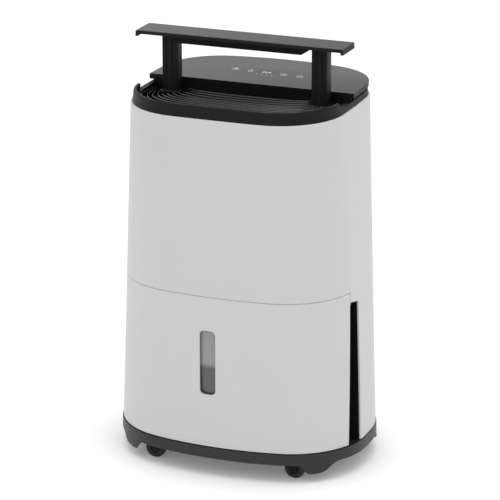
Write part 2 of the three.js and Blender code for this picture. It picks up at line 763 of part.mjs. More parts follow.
const COIL_HALF = 104;
const COIL_Z0 = 301;
const COIL_Z1 = 492;
function coil(y0, y1) {
  const core = box(-COIL_HALF, COIL_HALF, y0 + 6, y1 - 6, COIL_Z0, COIL_Z1);
  const fins = Array.from({ length: 13 }, (_, i) => {
    const x = -COIL_HALF + 4 + i * 16.2;
    return box(x, x + 6, y0, y1, COIL_Z0 - 1, COIL_Z1 + 1);
  });
  return join(core, ...fins);
}

function dripTray() {
  const outer = box(-108, 108, 64, 115, BAY_TOP_Z + 3.6, COIL_Z0 - 1.6);
  const inner = box(-106, 106, 66, 113, BAY_TOP_Z + 6, COIL_Z0 + 5);
  const spout = box(52, 68, -48, 66, BAY_TOP_Z + 3.6, BAY_TOP_Z + 14);
  const channel = box(54, 66, -46, 70, BAY_TOP_Z + 6, BAY_TOP_Z + 20);
  const drop = rod(7, 20, "z", [60, -40, BAY_TOP_Z - 9], 16);
  const bore = rod(5, 40, "z", [60, -40, BAY_TOP_Z - 12], 16);
  return cut(join(outer, spout, drop), inner, channel, bore);
}

function suctionPipe() {
  return tube(
    [[-6, 70, 190.6], [-6, 72, 212], [-40, 84, 228], [-100, 100, 236], [-119, 104, 252], [-119, 104, 320]],
    3.5,
  );
}

function dischargePipe() {
  return tube(
    [[-78, 66, 208.6], [-78, 67, 222], [-102, 73, 232], [-119, 78, 250], [-119, 78, 300], [-119, 78, 345]],
    3,
  );
}

// ---------------------------------------------------------------- fan
// A spiral from the left wall round underneath to the right wall, open at the top.
const SCROLL_TOP = 520;
function scrollOutline(grow, top) {
  const tight = FAN_R + 8 + grow;
  const wide = FAN_R + 24 + grow;
  const steps = 26;
  const sweep = 1.15 * Math.PI;
  const spiral = Array.from({ length: steps + 1 }, (_, i) => {
    const share = i / steps;
    const angle = Math.PI + sweep * share;
    const r = tight + (wide - tight) * share;
    return [FAN_X + r * Math.cos(angle), FAN_Z + r * Math.sin(angle)];
  });
  return [...spiral, [FAN_X + wide, top], [FAN_X - tight, top]];
}

function fanScroll() {
  const shell = prismY(scrollOutline(2.2, SCROLL_TOP), SCROLL_Y0, SCROLL_Y1);
  const inside = prismY(scrollOutline(0, SCROLL_TOP + 1), SCROLL_Y0 + 2.4, SCROLL_Y1 - 2.4);
  const inlet = rod(FAN_R - 10, 10, "y", [FAN_X, SCROLL_Y1 - 6, FAN_Z], 32);
  const shaftHole = rod(9, 10, "y", [FAN_X, SCROLL_Y0 - 4, FAN_Z], 20);
  return cut(shell, inside, inlet, shaftHole);
}

const BLADES = 18;
function fanImpeller() {
  const y0 = SCROLL_Y0 + 7;
  const y1 = SCROLL_Y1 - 6;
  const back = rod(FAN_R, 2.4, "y", [FAN_X, y0, FAN_Z], 28);
  const hub = rod(12, 22, "y", [FAN_X, y0, FAN_Z], 16);
  const rim = cut(
    rod(FAN_R, 3, "y", [FAN_X, y1 - 3, FAN_Z], 28),
    rod(FAN_R - 13, 8, "y", [FAN_X, y1 - 5, FAN_Z], 28),
  );
  const blades = Array.from({ length: BLADES }, (_, i) => {
    const geometry = new THREE.BoxGeometry(12, y1 - y0 - 1, 1.6);
    geometry.translate(FAN_R - 6.8, 0, 0);
    geometry.rotateY((i * 2 * Math.PI) / BLADES);
    geometry.translate(FAN_X, (y0 + y1) / 2, FAN_Z);
    return solid(geometry);
  });
  const bore = rod(3.4, 40, "y", [FAN_X, y0 - 2, FAN_Z], 16);
  return cut(join(back, hub, rim, ...blades), bore);
}

function fanMotor() {
  const front = SCROLL_Y0 - 28;
  const profile = [[0, 0], [31, 0], [34, 4], [34, 24], [30, 27.4], [0, 27.4]];
  const can = turned(profile, "y", [FAN_X, front, FAN_Z], 28);
  return join(can, rod(3, 44, "y", [FAN_X, front + 24, FAN_Z], 16));
}

// ---------------------------------------------------------------- electrics and fittings
function controlBoard() {
  const z = PANEL_Z - 15.4;
  const board = box(-70, 70, 30, 96, z, z + 1.6);
  const chips = [[-50, 40, 14, 10, 3], [-20, 50, 10, 10, 2], [30, 76, 18, 12, 5], [-60, 80, 12, 8, 4]];
  const parts = chips.map(([x, y, w, d, h]) => box(x, x + w, y, y + d, z + 1, z + 1.6 + h));
  return join(board, ...parts, box(-8, 8, 56, 68, z + 1, PANEL_Z - 3.4));
}

function electricalBox() {
  return cut(box(26, 122, 12, 56, 60, 200), box(28, 120, 14, 57, 62, 198));
}

function capacitor() {
  return turned([[0, 0], [17, 0], [17, 58], [15, 60], [0, 60]], "z", [52, 34, 64], 24);
}

function filterDrier() {
  return turned([[0, 0], [4, 0], [11, 8], [11, 62], [4, 70], [0, 70]], "z", [60, 84, 120], 16);
}

function preFilter() {
  const outer = box(-100, 100, 117.5, 120.5, 292, 496);
  const windows = [];
  for (let column = 0; column < 4; column += 1) {
    for (let row = 0; row < 4; row += 1) {
      const x = -96 + column * 48.4;
      const z = 296 + row * 49.4;
      windows.push(box(x, x + 46.4, 116, 119, z, z + 47.6));
    }
  }
  return cut(outer, ...windows);
}

// A round flange that lies on the rear skin, standing `proud` of it.
function skinFlange(x, z, r, proud) {
  return common(rod(r, 200, "y", [x, 60, z], 18), wallRing(z - r - 2, z + r + 2, -proud, -GAP));
}

// The rear skin's y at a given x and height.
function rearSkinY(x, z) {
  const points = skinOutline(z, 0).filter((point) => point[1] > WIDEST_Y);
  points.sort((a, b) => a[0] - b[0]);
  const after = points.findIndex((point) => point[0] >= x);
  const [x0, y0] = points[after - 1];
  const [x1, y1] = points[after];
  return y0 + ((y1 - y0) * (x - x0)) / (x1 - x0);
}

function cordGland() {
  const y = rearSkinY(INLET_X, INLET_Z);
  const sleeve = [[0, -10], [8.4, -10], [8.4, 4], [6.4, 8], [0, 8]];
  return join(
    skinFlange(INLET_X, INLET_Z, 13, 2.6),
    turned(sleeve, "y", [INLET_X, y, INLET_Z], 20),
  );
}

function drainBung() {
  const y = rearSkinY(DRAIN_X, DRAIN_Z);
  const plug = [[0, -8], [10.2, -8], [10.2, 2], [6, 6], [0, 6]];
  return join(
    skinFlange(DRAIN_X, DRAIN_Z, 15, 3),
    turned(plug, "y", [DRAIN_X, y, DRAIN_Z], 20),
  );
}

// A pan-head screw whose head stands on the rear skin, with a cross recess.
function screw(x, z) {
  const y = rearSkinY(x, z);
  const head = turned([[0, 0], [4.4, 0], [3.6, 1.8], [2.4, 2.4], [0, 2.4]], "y", [x, y + 2.1, z], 14);
  const slotAcross = box(x - 2.2, x + 2.2, y + 3.4, y + 6, z - 0.45, z + 0.45);
  const slotUp = box(x - 0.45, x + 0.45, y + 3.4, y + 6, z - 2.2, z + 2.2);
  return cut(head, slotAcross, slotUp);
}

// ---------------------------------------------------------------- castors
const CROWN_Z0 = 31.4;
const CROWN_Z1 = 34.4;
const AXLE_R = 2;

// The fork trails outwards; the wheel turns about a Y axle.
function castorFork(side, y) {
  const x = side * CASTOR_X;
  const wheelX = x + side * CASTOR_TRAIL;
  const half = WHEEL_WIDTH / 2 + 3;
  const outlinePoints = [
    [wheelX + side * 5, WHEEL_R - 5],
    [wheelX - side * 5, WHEEL_R - 5],
    [x - side * 8, CROWN_Z0],
    [x - side * 8, CROWN_Z1],
    [x + side * 12, CROWN_Z1],
    [wheelX + side * 6, CROWN_Z0 - 8],
  ];
  const body = prismY(outlinePoints, y - half, y + half);
  const well = box(-FAR, FAR, y - WHEEL_WIDTH / 2 - 0.6, y + WHEEL_WIDTH / 2 + 0.6, 0, CROWN_Z0);
  const stem = rod(4, 10, "z", [x, y, CROWN_Z1 - 1], 20);
  const bore = rod(AXLE_R + 0.3, 2 * half + 2, "y", [wheelX, y - half - 1, WHEEL_R], 16);
  return cut(join(cut(body, well), stem), bore);
}

function castorWheel(side, y) {
  const wheelX = side * (CASTOR_X + CASTOR_TRAIL);
  const half = WHEEL_WIDTH / 2;
  const bore = AXLE_R + 0.3;
  const profile = [
    [bore, -half],
    [WHEEL_R - 2, -half],
    [WHEEL_R, -half + 2.4],
    [WHEEL_R, half - 2.4],
    [WHEEL_R - 2, half],
    [bore, half],
    [bore, -half],
  ];
  return turned(profile, "y", [wheelX, y, WHEEL_R], 22);
}

function castorAxle(side, y) {
  const wheelX = side * (CASTOR_X + CASTOR_TRAIL);
  const half = WHEEL_WIDTH / 2 + 3.4;
  return rod(AXLE_R, 2 * half, "y", [wheelX, y - half, WHEEL_R], 12);
}

// ---------------------------------------------------------------- assembly
part("base_pan", basePan(), BLACK);
part("front_cover", frontCover(), WHITE);
part("rear_shell", rearShell(), WHITE);
part("tank_front", tankFront(), WHITE);
part("inner_chassis", innerChassis(), INNER_BLACK);
part("top_frame", topFrame(), BLACK);
part("outlet_grille", outletGrille(), BLACK);
part("control_panel", controlPanel(), PANEL_GREY);
part("display_lens", displayLens(), CLEAR_GREY);
part("control_board", controlBoard(), BOARD_GREEN);
part("filter_cover", filterCover(), WHITE);
part("pre_filter", preFilter(), MESH_GREY);

part("handle_plate", handlePlate(), PANEL_GREY);
part("handle_post_right", handlePost(1), BLACK);
part("handle_post_left", handlePost(-1), BLACK);
part("post_guide_right", postGuide(1), INNER_BLACK);
part("post_guide_left", postGuide(-1), INNER_BLACK);

part("tank_tub", tankTub(), CLEAR_GREY);
part("tank_lid", tankLid(), NATURAL);
part("tank_bail", tankBail(), BLACK);
part("tank_float", tankFloat(), FOAM);

part("compressor", compressorPot(), PAINTED);
part("compressor_feet", compressorFeet(), STEEL);
part("accumulator", accumulator(), PAINTED);
part("condenser", coil(68, 88), FINS);
part("evaporator", coil(92, 112), FINS);
part("drip_tray", dripTray(), NATURAL);
part("suction_pipe", suctionPipe(), COPPER);
part("discharge_pipe", dischargePipe(), COPPER);
part("filter_drier", filterDrier(), COPPER);
part("fan_scroll", fanScroll(), INNER_BLACK);
part("fan_impeller", fanImpeller(), NATURAL);
part("fan_motor", fanMotor(), STEEL);
part("electrical_box", electricalBox(), NATURAL);
part("capacitor", capacitor(), STEEL);

part("cord_gland", cordGland(), RUBBER);
part("drain_bung", drainBung(), RUBBER);
const SCREWS = [
  ["upper_right", 88, 262],
  ["upper_left", -88, 262],
  ["lower_right", 88, 60],
  ["lower_left", -88, 60],
];
for (const [place, x, z] of SCREWS) part(`screw_${place}`, screw(x, z), STEEL);

for (const [place, side, y] of CASTOR_SPOTS) {
  part(`castor_fork_${place}`, castorFork(side, y), BLACK);
  part(`castor_wheel_${place}`, castorWheel(side, y), RUBBER);
  part(`castor_axle_${place}`, castorAxle(side, y), STEEL);
}

export default group;
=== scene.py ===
"""A compressor dehumidifier on castors with its carrying handle raised, on a pale studio floor.

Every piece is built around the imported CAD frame, in metres. The casing's surface is a stack of
outlines made of arcs, the same formula as in the CAD, with far more points.
"""
import math
import bmesh
import bpy
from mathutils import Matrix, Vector


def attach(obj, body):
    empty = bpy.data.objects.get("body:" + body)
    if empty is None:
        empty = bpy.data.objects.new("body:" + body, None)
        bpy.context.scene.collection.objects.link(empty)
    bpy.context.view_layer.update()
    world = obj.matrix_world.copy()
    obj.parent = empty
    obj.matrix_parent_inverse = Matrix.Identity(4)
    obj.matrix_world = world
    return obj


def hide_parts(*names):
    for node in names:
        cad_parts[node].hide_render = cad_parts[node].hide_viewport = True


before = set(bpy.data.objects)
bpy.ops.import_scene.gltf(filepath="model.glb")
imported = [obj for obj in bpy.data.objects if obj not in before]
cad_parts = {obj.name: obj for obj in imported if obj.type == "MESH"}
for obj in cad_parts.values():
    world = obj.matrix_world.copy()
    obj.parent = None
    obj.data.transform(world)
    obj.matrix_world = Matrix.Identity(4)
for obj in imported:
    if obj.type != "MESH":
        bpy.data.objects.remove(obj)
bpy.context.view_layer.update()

MM = 0.001

# ------------------------------------------------------------ driving sizes, in millimetres
WIDEST_Y = -16.9  # where the casing is widest
REF_Z = 500  # height of the head plan; the foot plan lies on the floor
FOOT_PLAN = {
    "half_width": 189,
    "side_radius": 2400,
    "front": {"depth": 127.6, "face_radius": 445, "corner_radius": 118},
    "rear": {"depth": 153.2, "face_radius": 300, "corner_radius": 120},
}
HEAD_PLAN = {
    "half_width": 161,
    "side_radius": 1900,
    "front": {"depth": 127.6, "face_radius": 1500, "corner_radius": 98},
    "rear": {"depth": 162, "face_radius": 400, "corner_radius": 93},
}
# Heights, from the floor up
GUARD_Z = 13  # lower edge of the castor guards
SKIRT_Z = 28  # lower edge of the base between the guards
BODY_Z = 45  # lower edge of the white casing
TANK_Z = 273  # joint between water tank and front cover
COVER_Z = 533  # upper edge of the white casing
GRILLE_FOOT_Z = 531  # underside of the outlet grille
TROUGH_Z = 537.3  # top of the vanes under the carrying handle
RING_Z = 541  # top of the black ring
GRILLE_Z = 545  # top of the outlet vanes at the front
UPSTAND_Z = 550.5  # top of the raised front of the ring
PANEL_Z = 552.3  # top of the control panel
LIFT = 75  # travel of the carrying handle
HANDLE_Z = PANEL_Z + LIFT

# Hand slots; their rear edge leans back with height
SEAM_Y0 = -39.4
SEAM_LEAN = 0.061
SLOT_WIDTH = 28.4
SLOT_TOP_Z = 258  # roof of a hand slot at its front
SLOT_TOP_REAR_Z = 251.7  # and at its rear
COVER_STEP = 10  # how far behind the slots' rear edge the front cover ends

# Walls and the gaps between pieces
WALL = 2.6
TANK_WALL = 3
TANK_GAP = 0.3  # on each side of the joint between tank and cover
SLOT_GAP = 0.4
JOINT_GAP = 0.05
FOOT_GAP = 0.4

# Panel and handle
FAR_FRONT_Y = -400  # in front of everything
GRILLE_FRONT_Y = -129
PANEL_FRONT_Y = -3.3
PLATE_FRONT_Y = -52
PLATE_BACK_Y = PANEL_FRONT_Y - 0.6
PLATE_THICK = 5
POST_IN_X = 102.5
POST_OUT_X = 125.5
POST_FRONT_Y = -29
POST_BACK_Y = -10.5
POST_FOOT_Z = 440

# Tank window
WINDOW_X = -10.3
WINDOW_WIDTH = 24
WINDOW_Z0 = 125.2
WINDOW_Z1 = 221.7


# ------------------------------------------------------------ the casing's surface
def arc_points(centre, radius, start, end, steps):
    """Points on an arc, without the last one."""
    points = []
    for i in range(steps):
        angle = start + (end - start) * i / steps
        points.append((centre[0] + radius * math.cos(angle), centre[1] + radius * math.sin(angle)))
    return points


FACE_STEPS = 26
CORNER_STEPS = 30
SIDE_STEPS = 14


def quarter(half_width, side_radius, arcs, inset):
    """One quarter of the outline, from the centre line to just before the widest point."""
    face_r = arcs["face_radius"] - inset
    side_r = side_radius - inset
    corner_r = max(arcs["corner_radius"] - inset, 3)
    face = (0.0, arcs["depth"] - arcs["face_radius"])
    side = (half_width - side_radius, 0.0)
    dx = side[0] - face[0]
    dy = side[1] - face[1]
    apart = math.hypot(dx, dy)
    to_face = face_r - corner_r
    to_side = side_r - corner_r
    along = (to_face**2 - to_side**2 + apart**2) / (2 * apart)
    off = math.sqrt(max(to_face**2 - along**2, 0))
    candidates = []
    for way in (1, -1):
        x = face[0] + (along * dx - way * off * dy) / apart
        y = face[1] + (along * dy + way * off * dx) / apart
        candidates.append((x, y))
    corner = max(candidates, key=lambda point: point[0] + point[1])
    face_end = math.atan2(corner[1] - face[1], corner[0] - face[0])
    side_start = math.atan2(corner[1] - side[1], corner[0] - side[0])
    points = arc_points(face, face_r, math.pi / 2, face_end, FACE_STEPS)
    points += arc_points(corner, corner_r, face_end, side_start, CORNER_STEPS)
    points += arc_points(side, side_r, side_start, 0, SIDE_STEPS)
    return points


def outline(plan, inset):
    """The whole outline of one plan, anticlockwise from the middle of the front."""
    front = quarter(plan["half_width"], plan["side_radius"], plan["front"], inset)
    rear = quarter(plan["half_width"], plan["side_radius"], plan["rear"], inset)
    right = [(x, -y) for x, y in front]
    right.append((plan["half_width"] - inset, 0.0))
    right += list(reversed(rear))
    left = [(-x, y) for x, y in reversed(right[1:-1])]
    return [(x, y + WIDEST_Y) for x, y in right + left]


def skin_outline(z, inset):
    """The outline at any height, set in from the skin by inset."""
    foot = outline(FOOT_PLAN, inset)
    head = outline(HEAD_PLAN, inset)
    share = z / REF_Z
    return [
        (fx + (hx - fx) * share, fy + (hy - fy) * share)
        for (fx, fy), (hx, hy) in zip(foot, head)
    ]


def right_half(z, inset):
    """The right half of the outline, from the middle of the front to the middle of the rear."""
    loop = skin_outline(z, inset)
    return loop[: len(loop) // 2 + 1]


def resample(points, count):
    """count + 1 points evenly spaced along a polyline."""
    lengths = [0.0]
    for a, b in zip(points, points[1:]):
        lengths.append(lengths[-1] + math.dist(a, b))
    result = []
    j = 0
    for i in range(count + 1):
        want = lengths[-1] * i / count
        while j < len(points) - 2 and lengths[j + 1] < want:
            j += 1
        step = lengths[j + 1] - lengths[j]
        t = 0.0 if step == 0 else (want - lengths[j]) / step
        a = points[j]
        b = points[j + 1]
        result.append((a[0] + (b[0] - a[0]) * t, a[1] + (b[1] - a[1]) * t))
    return result


def cut_at_y(half, y, keep_front):
    """The part of a right half outline in front of, or behind, a given y on the side."""
    for i in range(len(half) - 1):
        a = half[i]
        b = half[i + 1]
        if a[1] < y <= b[1]:
            t = (y - a[1]) / (b[1] - a[1])
            meet = (a[0] + (b[0] - a[0]) * t, y)
            return half[: i + 1] + [meet] if keep_front else [meet] + half[i + 1 :]
    return half


def seam_y(z):
    return SEAM_Y0 + SEAM_LEAN * z


# ------------------------------------------------------------ mesh helpers
def new_object(name, verts, faces):
    """A mesh object from points in millimetres."""
    mesh = bpy.data.meshes.new(name)
    mesh.from_pydata([(x * MM, y * MM, z * MM) for x, y, z in verts], [], faces)
    mesh.validate()
    mesh.update()
    piece = bpy.data.objects.new(name, mesh)
    bpy.context.scene.collection.objects.link(piece)
    return piece


def grid_faces(rows, columns, closed=False):
    """Quads of a grid whose vertices are numbered row by row."""
    faces = []
    around = columns if closed else columns - 1
    for r in range(rows - 1):
        for c in range(around):
            a = r * columns + c
            b = r * columns + (c + 1) % columns
            faces.append((a, b, b + columns, a + columns))
    return faces


def finish_piece(piece, material, body, nodes=()):
    """Material and body of a piece, and the CAD nodes that it stands for."""
    piece.data.materials.clear()
    piece.data.materials.append(material)
    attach(piece, body)
    if nodes:
        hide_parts(*nodes)
    return piece


def apply_modifiers(piece):
    """Bakes a piece's modifiers into its mesh."""
    bpy.context.view_layer.update()
    graph = bpy.context.evaluated_depsgraph_get()
    mesh = bpy.data.meshes.new_from_object(piece.evaluated_get(graph))
    piece.modifiers.clear()
    piece.data = mesh
    return piece


def smooth(piece, angle=35):
    """Smooth shading, with edges sharper than the angle left hard."""
    mesh = piece.data
    mesh.polygons.foreach_set("use_smooth", [True] * len(mesh.polygons))
    mesh.set_sharp_from_angle(angle=math.radians(angle))
    return piece


def bevelled(piece, width, segments=3, angle=40):
    """Rounds a piece's edges."""
    bevel = piece.modifiers.new("round", "BEVEL")
    bevel.width = width * MM
    bevel.segments = segments
    bevel.limit_method = "ANGLE"
    bevel.angle_limit = math.radians(angle)
    apply_modifiers(piece)
    return smooth(piece)


def thickened(piece, thickness):
    """Gives a surface patch its wall, inwards."""
    wall = piece.modifiers.new("wall", "SOLIDIFY")
    wall.thickness = thickness * MM
    wall.offset = -1
    wall.use_even_offset = True
    return apply_modifiers(piece)


def cut_away(piece, cutter):
    """Takes another piece out of this one; the other is used up."""
    boolean = piece.modifiers.new("boolean", "BOOLEAN")
    boolean.operation = "DIFFERENCE"
    boolean.object = cutter
    boolean.solver = "EXACT"
    apply_modifiers(piece)
    bpy.data.objects.remove(cutter)
    return piece


def block(name, x0, x1, y0, y1, z0, z1):
    """A box between two corners, in millimetres."""
    verts = [(x, y, z) for z in (z0, z1) for y in (y0, y1) for x in (x0, x1)]
    faces = [(0, 2, 3, 1), (4, 5, 7, 6), (0, 1, 5, 4), (1, 3, 7, 5), (3, 2, 6, 7), (2, 0, 4, 6)]
    return new_object(name, verts, faces)


def prism(name, points, low, high, axis):
    """A prism along z or y, over an outline in the other two directions."""
    count = len(points)
    verts = [(u, v, w) if axis == "z" else (u, w, v) for w in (low, high) for u, v in points]
    faces = [tuple(range(count)), tuple(range(2 * count - 1, count - 1, -1))]
    for i in range(count):
        j = (i + 1) % count
        faces.append((j, i, i + count, j + count))
    return recalculate(new_object(name, verts, faces))


def recalculate(piece):
    """Turns all faces outwards."""
    work = bmesh.new()
    work.from_mesh(piece.data)
    bmesh.ops.remove_doubles(work, verts=work.verts, dist=1e-6)
    bmesh.ops.recalc_face_normals(work, faces=work.faces)
    work.to_mesh(piece.data)
    work.free()
    return piece


def joined(name, *pieces):
    """Several pieces as one mesh of separate solids."""
    verts = []
    faces = []
    for piece in pieces:
        start = len(verts)
        verts += [tuple(v.co / MM) for v in piece.data.vertices]
        faces += [tuple(start + i for i in p.vertices) for p in piece.data.polygons]
        bpy.data.objects.remove(piece)
    return new_object(name, verts, faces)


def stack(name, *levels):
    """A closed solid through outlines at levels (z, inset)."""
    verts = []
    for z, inset in levels:
        verts += [(x, y, z) for x, y in skin_outline(z, inset)]
    columns = len(skin_outline(0, 0))
    faces = grid_faces(len(levels), columns, closed=True)
    last = (len(levels) - 1) * columns
    faces.append(tuple(reversed(range(columns))))
    faces.append(tuple(range(last, last + columns)))
    return new_object(name, verts, faces)


def rounded_rect(u0, u1, v0, v1, r, steps=8):
    """A rectangle with rounded corners as outline points."""
    corners = ((u1 - r, v0 + r, -90), (u1 - r, v1 - r, 0), (u0 + r, v1 - r, 90), (u0 + r, v0 + r, 180))
    points = []
    for u, v, start in corners:
        for i in range(steps + 1):
            angle = math.radians(start + 90 * i / steps)
            points.append((u + r * math.cos(angle), v + r * math.sin(angle)))
    return points


def turned(name, profile, centre, sides):
    """A solid of revolution about a y axis; a closed profile of points (radius, y from the centre)."""
    cx, cy, cz = centre
    verts = []
    for r, y in profile:
        for i in range(sides):
            angle = 2 * math.pi * i / sides
            verts.append((r * math.cos(angle) + cx, y + cy, r * math.sin(angle) + cz))
    return recalculate(new_object(name, verts, grid_faces(len(profile), sides, closed=True)))


# ------------------------------------------------------------ patches of the casing with holes in them
def half_point(half, distance):
    """The point a given distance along a right half outline from its first point, mirrored if negative."""
    want = abs(distance)
    done = 0.0
    for a, b in zip(half, half[1:]):
        step = math.dist(a, b)
        if done + step >= want:
            t = (want - done) / step
            x = a[0] + (b[0] - a[0]) * t
            return (math.copysign(x, distance), a[1] + (b[1] - a[1]) * t)
        done += step
    x, y = half[-1]
    return (math.copysign(x, distance), y)


def span(low, high, step):
    """Evenly spaced values from low to high, both included, about a step apart."""
    count = max(1, round((high - low) / step))
    return [low + (high - low) * i / count for i in range(count + 1)]


def lines_for(low, high, holes, first, second, margin, step, extra=()):
    """Grid lines over a range, also on the edges, corners and margins of the holes and on extra places."""
    marks = {low, high, *extra}
    for hole in holes:
        a = hole[first]
        b = hole[second]
        r = hole[4]
        marks |= {a - margin, a, a + r / 2, a + r, b - r, b - r / 2, b, b + margin}
    ordered = sorted(marks)
    result = []
    for a, b in zip(ordered, ordered[1:]):
        if b - a > 0.01:
            result += span(a, b, step)[:-1]
    return result + [high]


def holed_patch(name, place, u_range, z_range, holes, margin, u_step, z_step, u_marks=(), z_marks=()):
    """A surface patch with rounded holes. place(u, z) gives a point; a hole is (u0, u1, z0, z1, radius)."""
    us = lines_for(*u_range, holes, 0, 1, margin, u_step, u_marks)
    zs = lines_for(*z_range, holes, 2, 3, margin, z_step, z_marks)
    verts = [place(u, z) for z in zs for u in us]
    columns = len(us)

    def index_of(values, wanted):
        return min(range(len(values)), key=lambda i: abs(values[i] - wanted))

    cells = {(r, c) for r in range(len(zs) - 1) for c in range(columns - 1)}
    faces = []
    for u0, u1, z0, z1, radius in holes:
        c0 = index_of(us, u0 - margin)
        c1 = index_of(us, u1 + margin)
        r0 = index_of(zs, z0 - margin)
        r1 = index_of(zs, z1 + margin)
        cells -= {(r, c) for r in range(r0, r1) for c in range(c0, c1)}
        border = [(r0, c) for c in range(c0, c1)]
        border += [(r, c1) for r in range(r0, r1)]
        border += [(r1, c) for c in range(c1, c0, -1)]
        border += [(r, c0) for r in range(r1, r0, -1)]
        first = len(verts)
        for r, c in border:
            du = us[c]
            dz = zs[r]
            cu = min(max(du, u0 + radius), u1 - radius)
            cz = min(max(dz, z0 + radius), z1 - radius)
            reach = math.hypot(du - cu, dz - cz)
            verts.append(place(cu + (du - cu) * radius / reach, cz + (dz - cz) * radius / reach))
        for i, (r, c) in enumerate(border):
            j = (i + 1) % len(border)
            nr, nc = border[j]
            faces.append((r * columns + c, nr * columns + nc, first + j, first + i))
    for r, c in sorted(cells):
        a = r * columns + c
        faces.append((a, a + 1, a + 1 + columns, a + columns))
    return new_object(name, verts, faces)


_halves = {}


def half_outline(z, inset, front):
    """The right half outline, from the middle of the front or from the middle of the rear, kept for reuse."""
    key = (round(z, 4), round(inset, 4), front)
    if key not in _halves:
        half = right_half(z, inset)
        _halves[key] = half if front else list(reversed(half))
    return _halves[key]


def half_length(z, front, offset):
    """Distance along the outline from the middle of the front or rear to a line beside the seam."""
    half = cut_at_y(right_half(z, 0), seam_y(z) + offset, front)
    return sum(math.dist(a, b) for a, b in zip(half, half[1:]))


CORE = 115  # within this distance of the middle, columns stand straight up
REACH = 1000  # the value of u on a seam
TOP_ROUND = 2.2  # radius of the white casing's top edge
TOP_MARKS = [COVER_Z - TOP_ROUND * (1 - math.sin(math.radians(angle))) for angle in (0, 20, 40, 55, 70, 80)]


def top_inset(z):
    """How far the skin has curved in at a height near the casing's top edge."""
    rise = max(z - COVER_Z + TOP_ROUND, 0)
    return TOP_ROUND - math.sqrt(max(TOP_ROUND**2 - rise**2, 0))


def casing_place(front, offset):
    """place(u, z) for a patch from one seam to the other, left to right as seen from outside.

    u = -REACH or REACH is on the seam.
    """
    lengths = {}

    def place(u, z):
        key = round(z, 4)
        if key not in lengths:
            lengths[key] = half_length(z, front, offset)
        distance = abs(u)
        if distance > CORE:
            distance = CORE + (distance - CORE) * (lengths[key] - CORE) / (REACH - CORE)
        sign = u if front else -u
        x, y = half_point(half_outline(z, top_inset(z), front), math.copysign(distance, sign))
        return (x, y, z)

    return place


# ------------------------------------------------------------ materials
def node_material(name, color, roughness, metallic=0.0):
    """A material with its shader, ready for procedural nodes."""
    material = bpy.data.materials.new(name)
    material.use_nodes = True
    shader = material.node_tree.nodes["Principled BSDF"]
    shader.inputs["Base Color"].default_value = (*color, 1)
    shader.inputs["Roughness"].default_value = roughness
    shader.inputs["Metallic"].default_value = metallic
    return material, shader


def textured(material, node_type, scale, detail=2.0):
    """A texture node of the given type, in object coordinates."""
    nodes = material.node_tree.nodes
    links = material.node_tree.links
    coordinates = nodes.new("ShaderNodeTexCoord")
    texture = nodes.new(node_type)
    texture.inputs["Scale"].default_value = scale
    if "Detail" in texture.inputs:
        texture.inputs["Detail"].default_value = detail
    links.new(coordinates.outputs["Object"], texture.inputs["Vector"])
    return texture


def value_between(material, factor, low, high):
    """A number that runs from low to high with a texture."""
    node = material.node_tree.nodes.new("ShaderNodeMapRange")
    node.inputs["To Min"].default_value = low
    node.inputs["To Max"].default_value = high
    material.node_tree.links.new(factor, node.inputs["Value"])
    return node.outputs["Result"]


def color_between(material, factor, low, high):
    """A colour that runs from low to high with a texture."""
    ramp = material.node_tree.nodes.new("ShaderNodeValToRGB")
    ramp.color_ramp.elements[0].color = (*low, 1)
    ramp.color_ramp.elements[0].position = 0.3
    ramp.color_ramp.elements[1].color = (*high, 1)
    ramp.color_ramp.elements[1].position = 0.7
    material.node_tree.links.new(factor, ramp.inputs["Fac"])
    return ramp.outputs["Color"]


def bump(material, shader, factor, strength, distance):
    """Surface relief from a texture; distance in millimetres."""
    node = material.node_tree.nodes.new("ShaderNodeBump")
    node.inputs["Strength"].default_value = strength
    node.inputs["Distance"].default_value = distance * MM
    material.node_tree.links.new(factor, node.inputs["Height"])
    material.node_tree.links.new(node.outputs["Normal"], shader.inputs["Normal"])


def scaled(color, share):
    return tuple(channel * share for channel in color)


def moulded(name, color, roughness, grain, relief, variation=0.04, gloss=0.5):
    """Moulded plastic: fine grain, a slow change of tone, and roughness that varies a little."""
    material, shader = node_material(name, color, roughness)
    links = material.node_tree.links
    cloud = textured(material, "ShaderNodeTexNoise", 9)
    tone = color_between(material, cloud.outputs["Fac"], scaled(color, 1 - variation), color)
    links.new(tone, shader.inputs["Base Color"])
    fine = textured(material, "ShaderNodeTexNoise", grain, 3)
    varied = value_between(material, fine.outputs["Fac"], roughness - 0.05, roughness + 0.05)
    links.new(varied, shader.inputs["Roughness"])
    bump(material, shader, fine.outputs["Fac"], 0.35, relief)
    shader.inputs["Specular IOR Level"].default_value = gloss
    return material


def drawn_metal(name, color, roughness, grain):
    """Bare metal with fine streaks."""
    material, shader = node_material(name, color, roughness, 1.0)
    links = material.node_tree.links
    streak = textured(material, "ShaderNodeTexNoise", grain, 4)
    links.new(
        value_between(material, streak.outputs["Fac"], roughness - 0.1, roughness + 0.12),
        shader.inputs["Roughness"],
    )
    tone = color_between(material, streak.outputs["Fac"], scaled(color, 0.85), color)
    links.new(tone, shader.inputs["Base Color"])
    return material


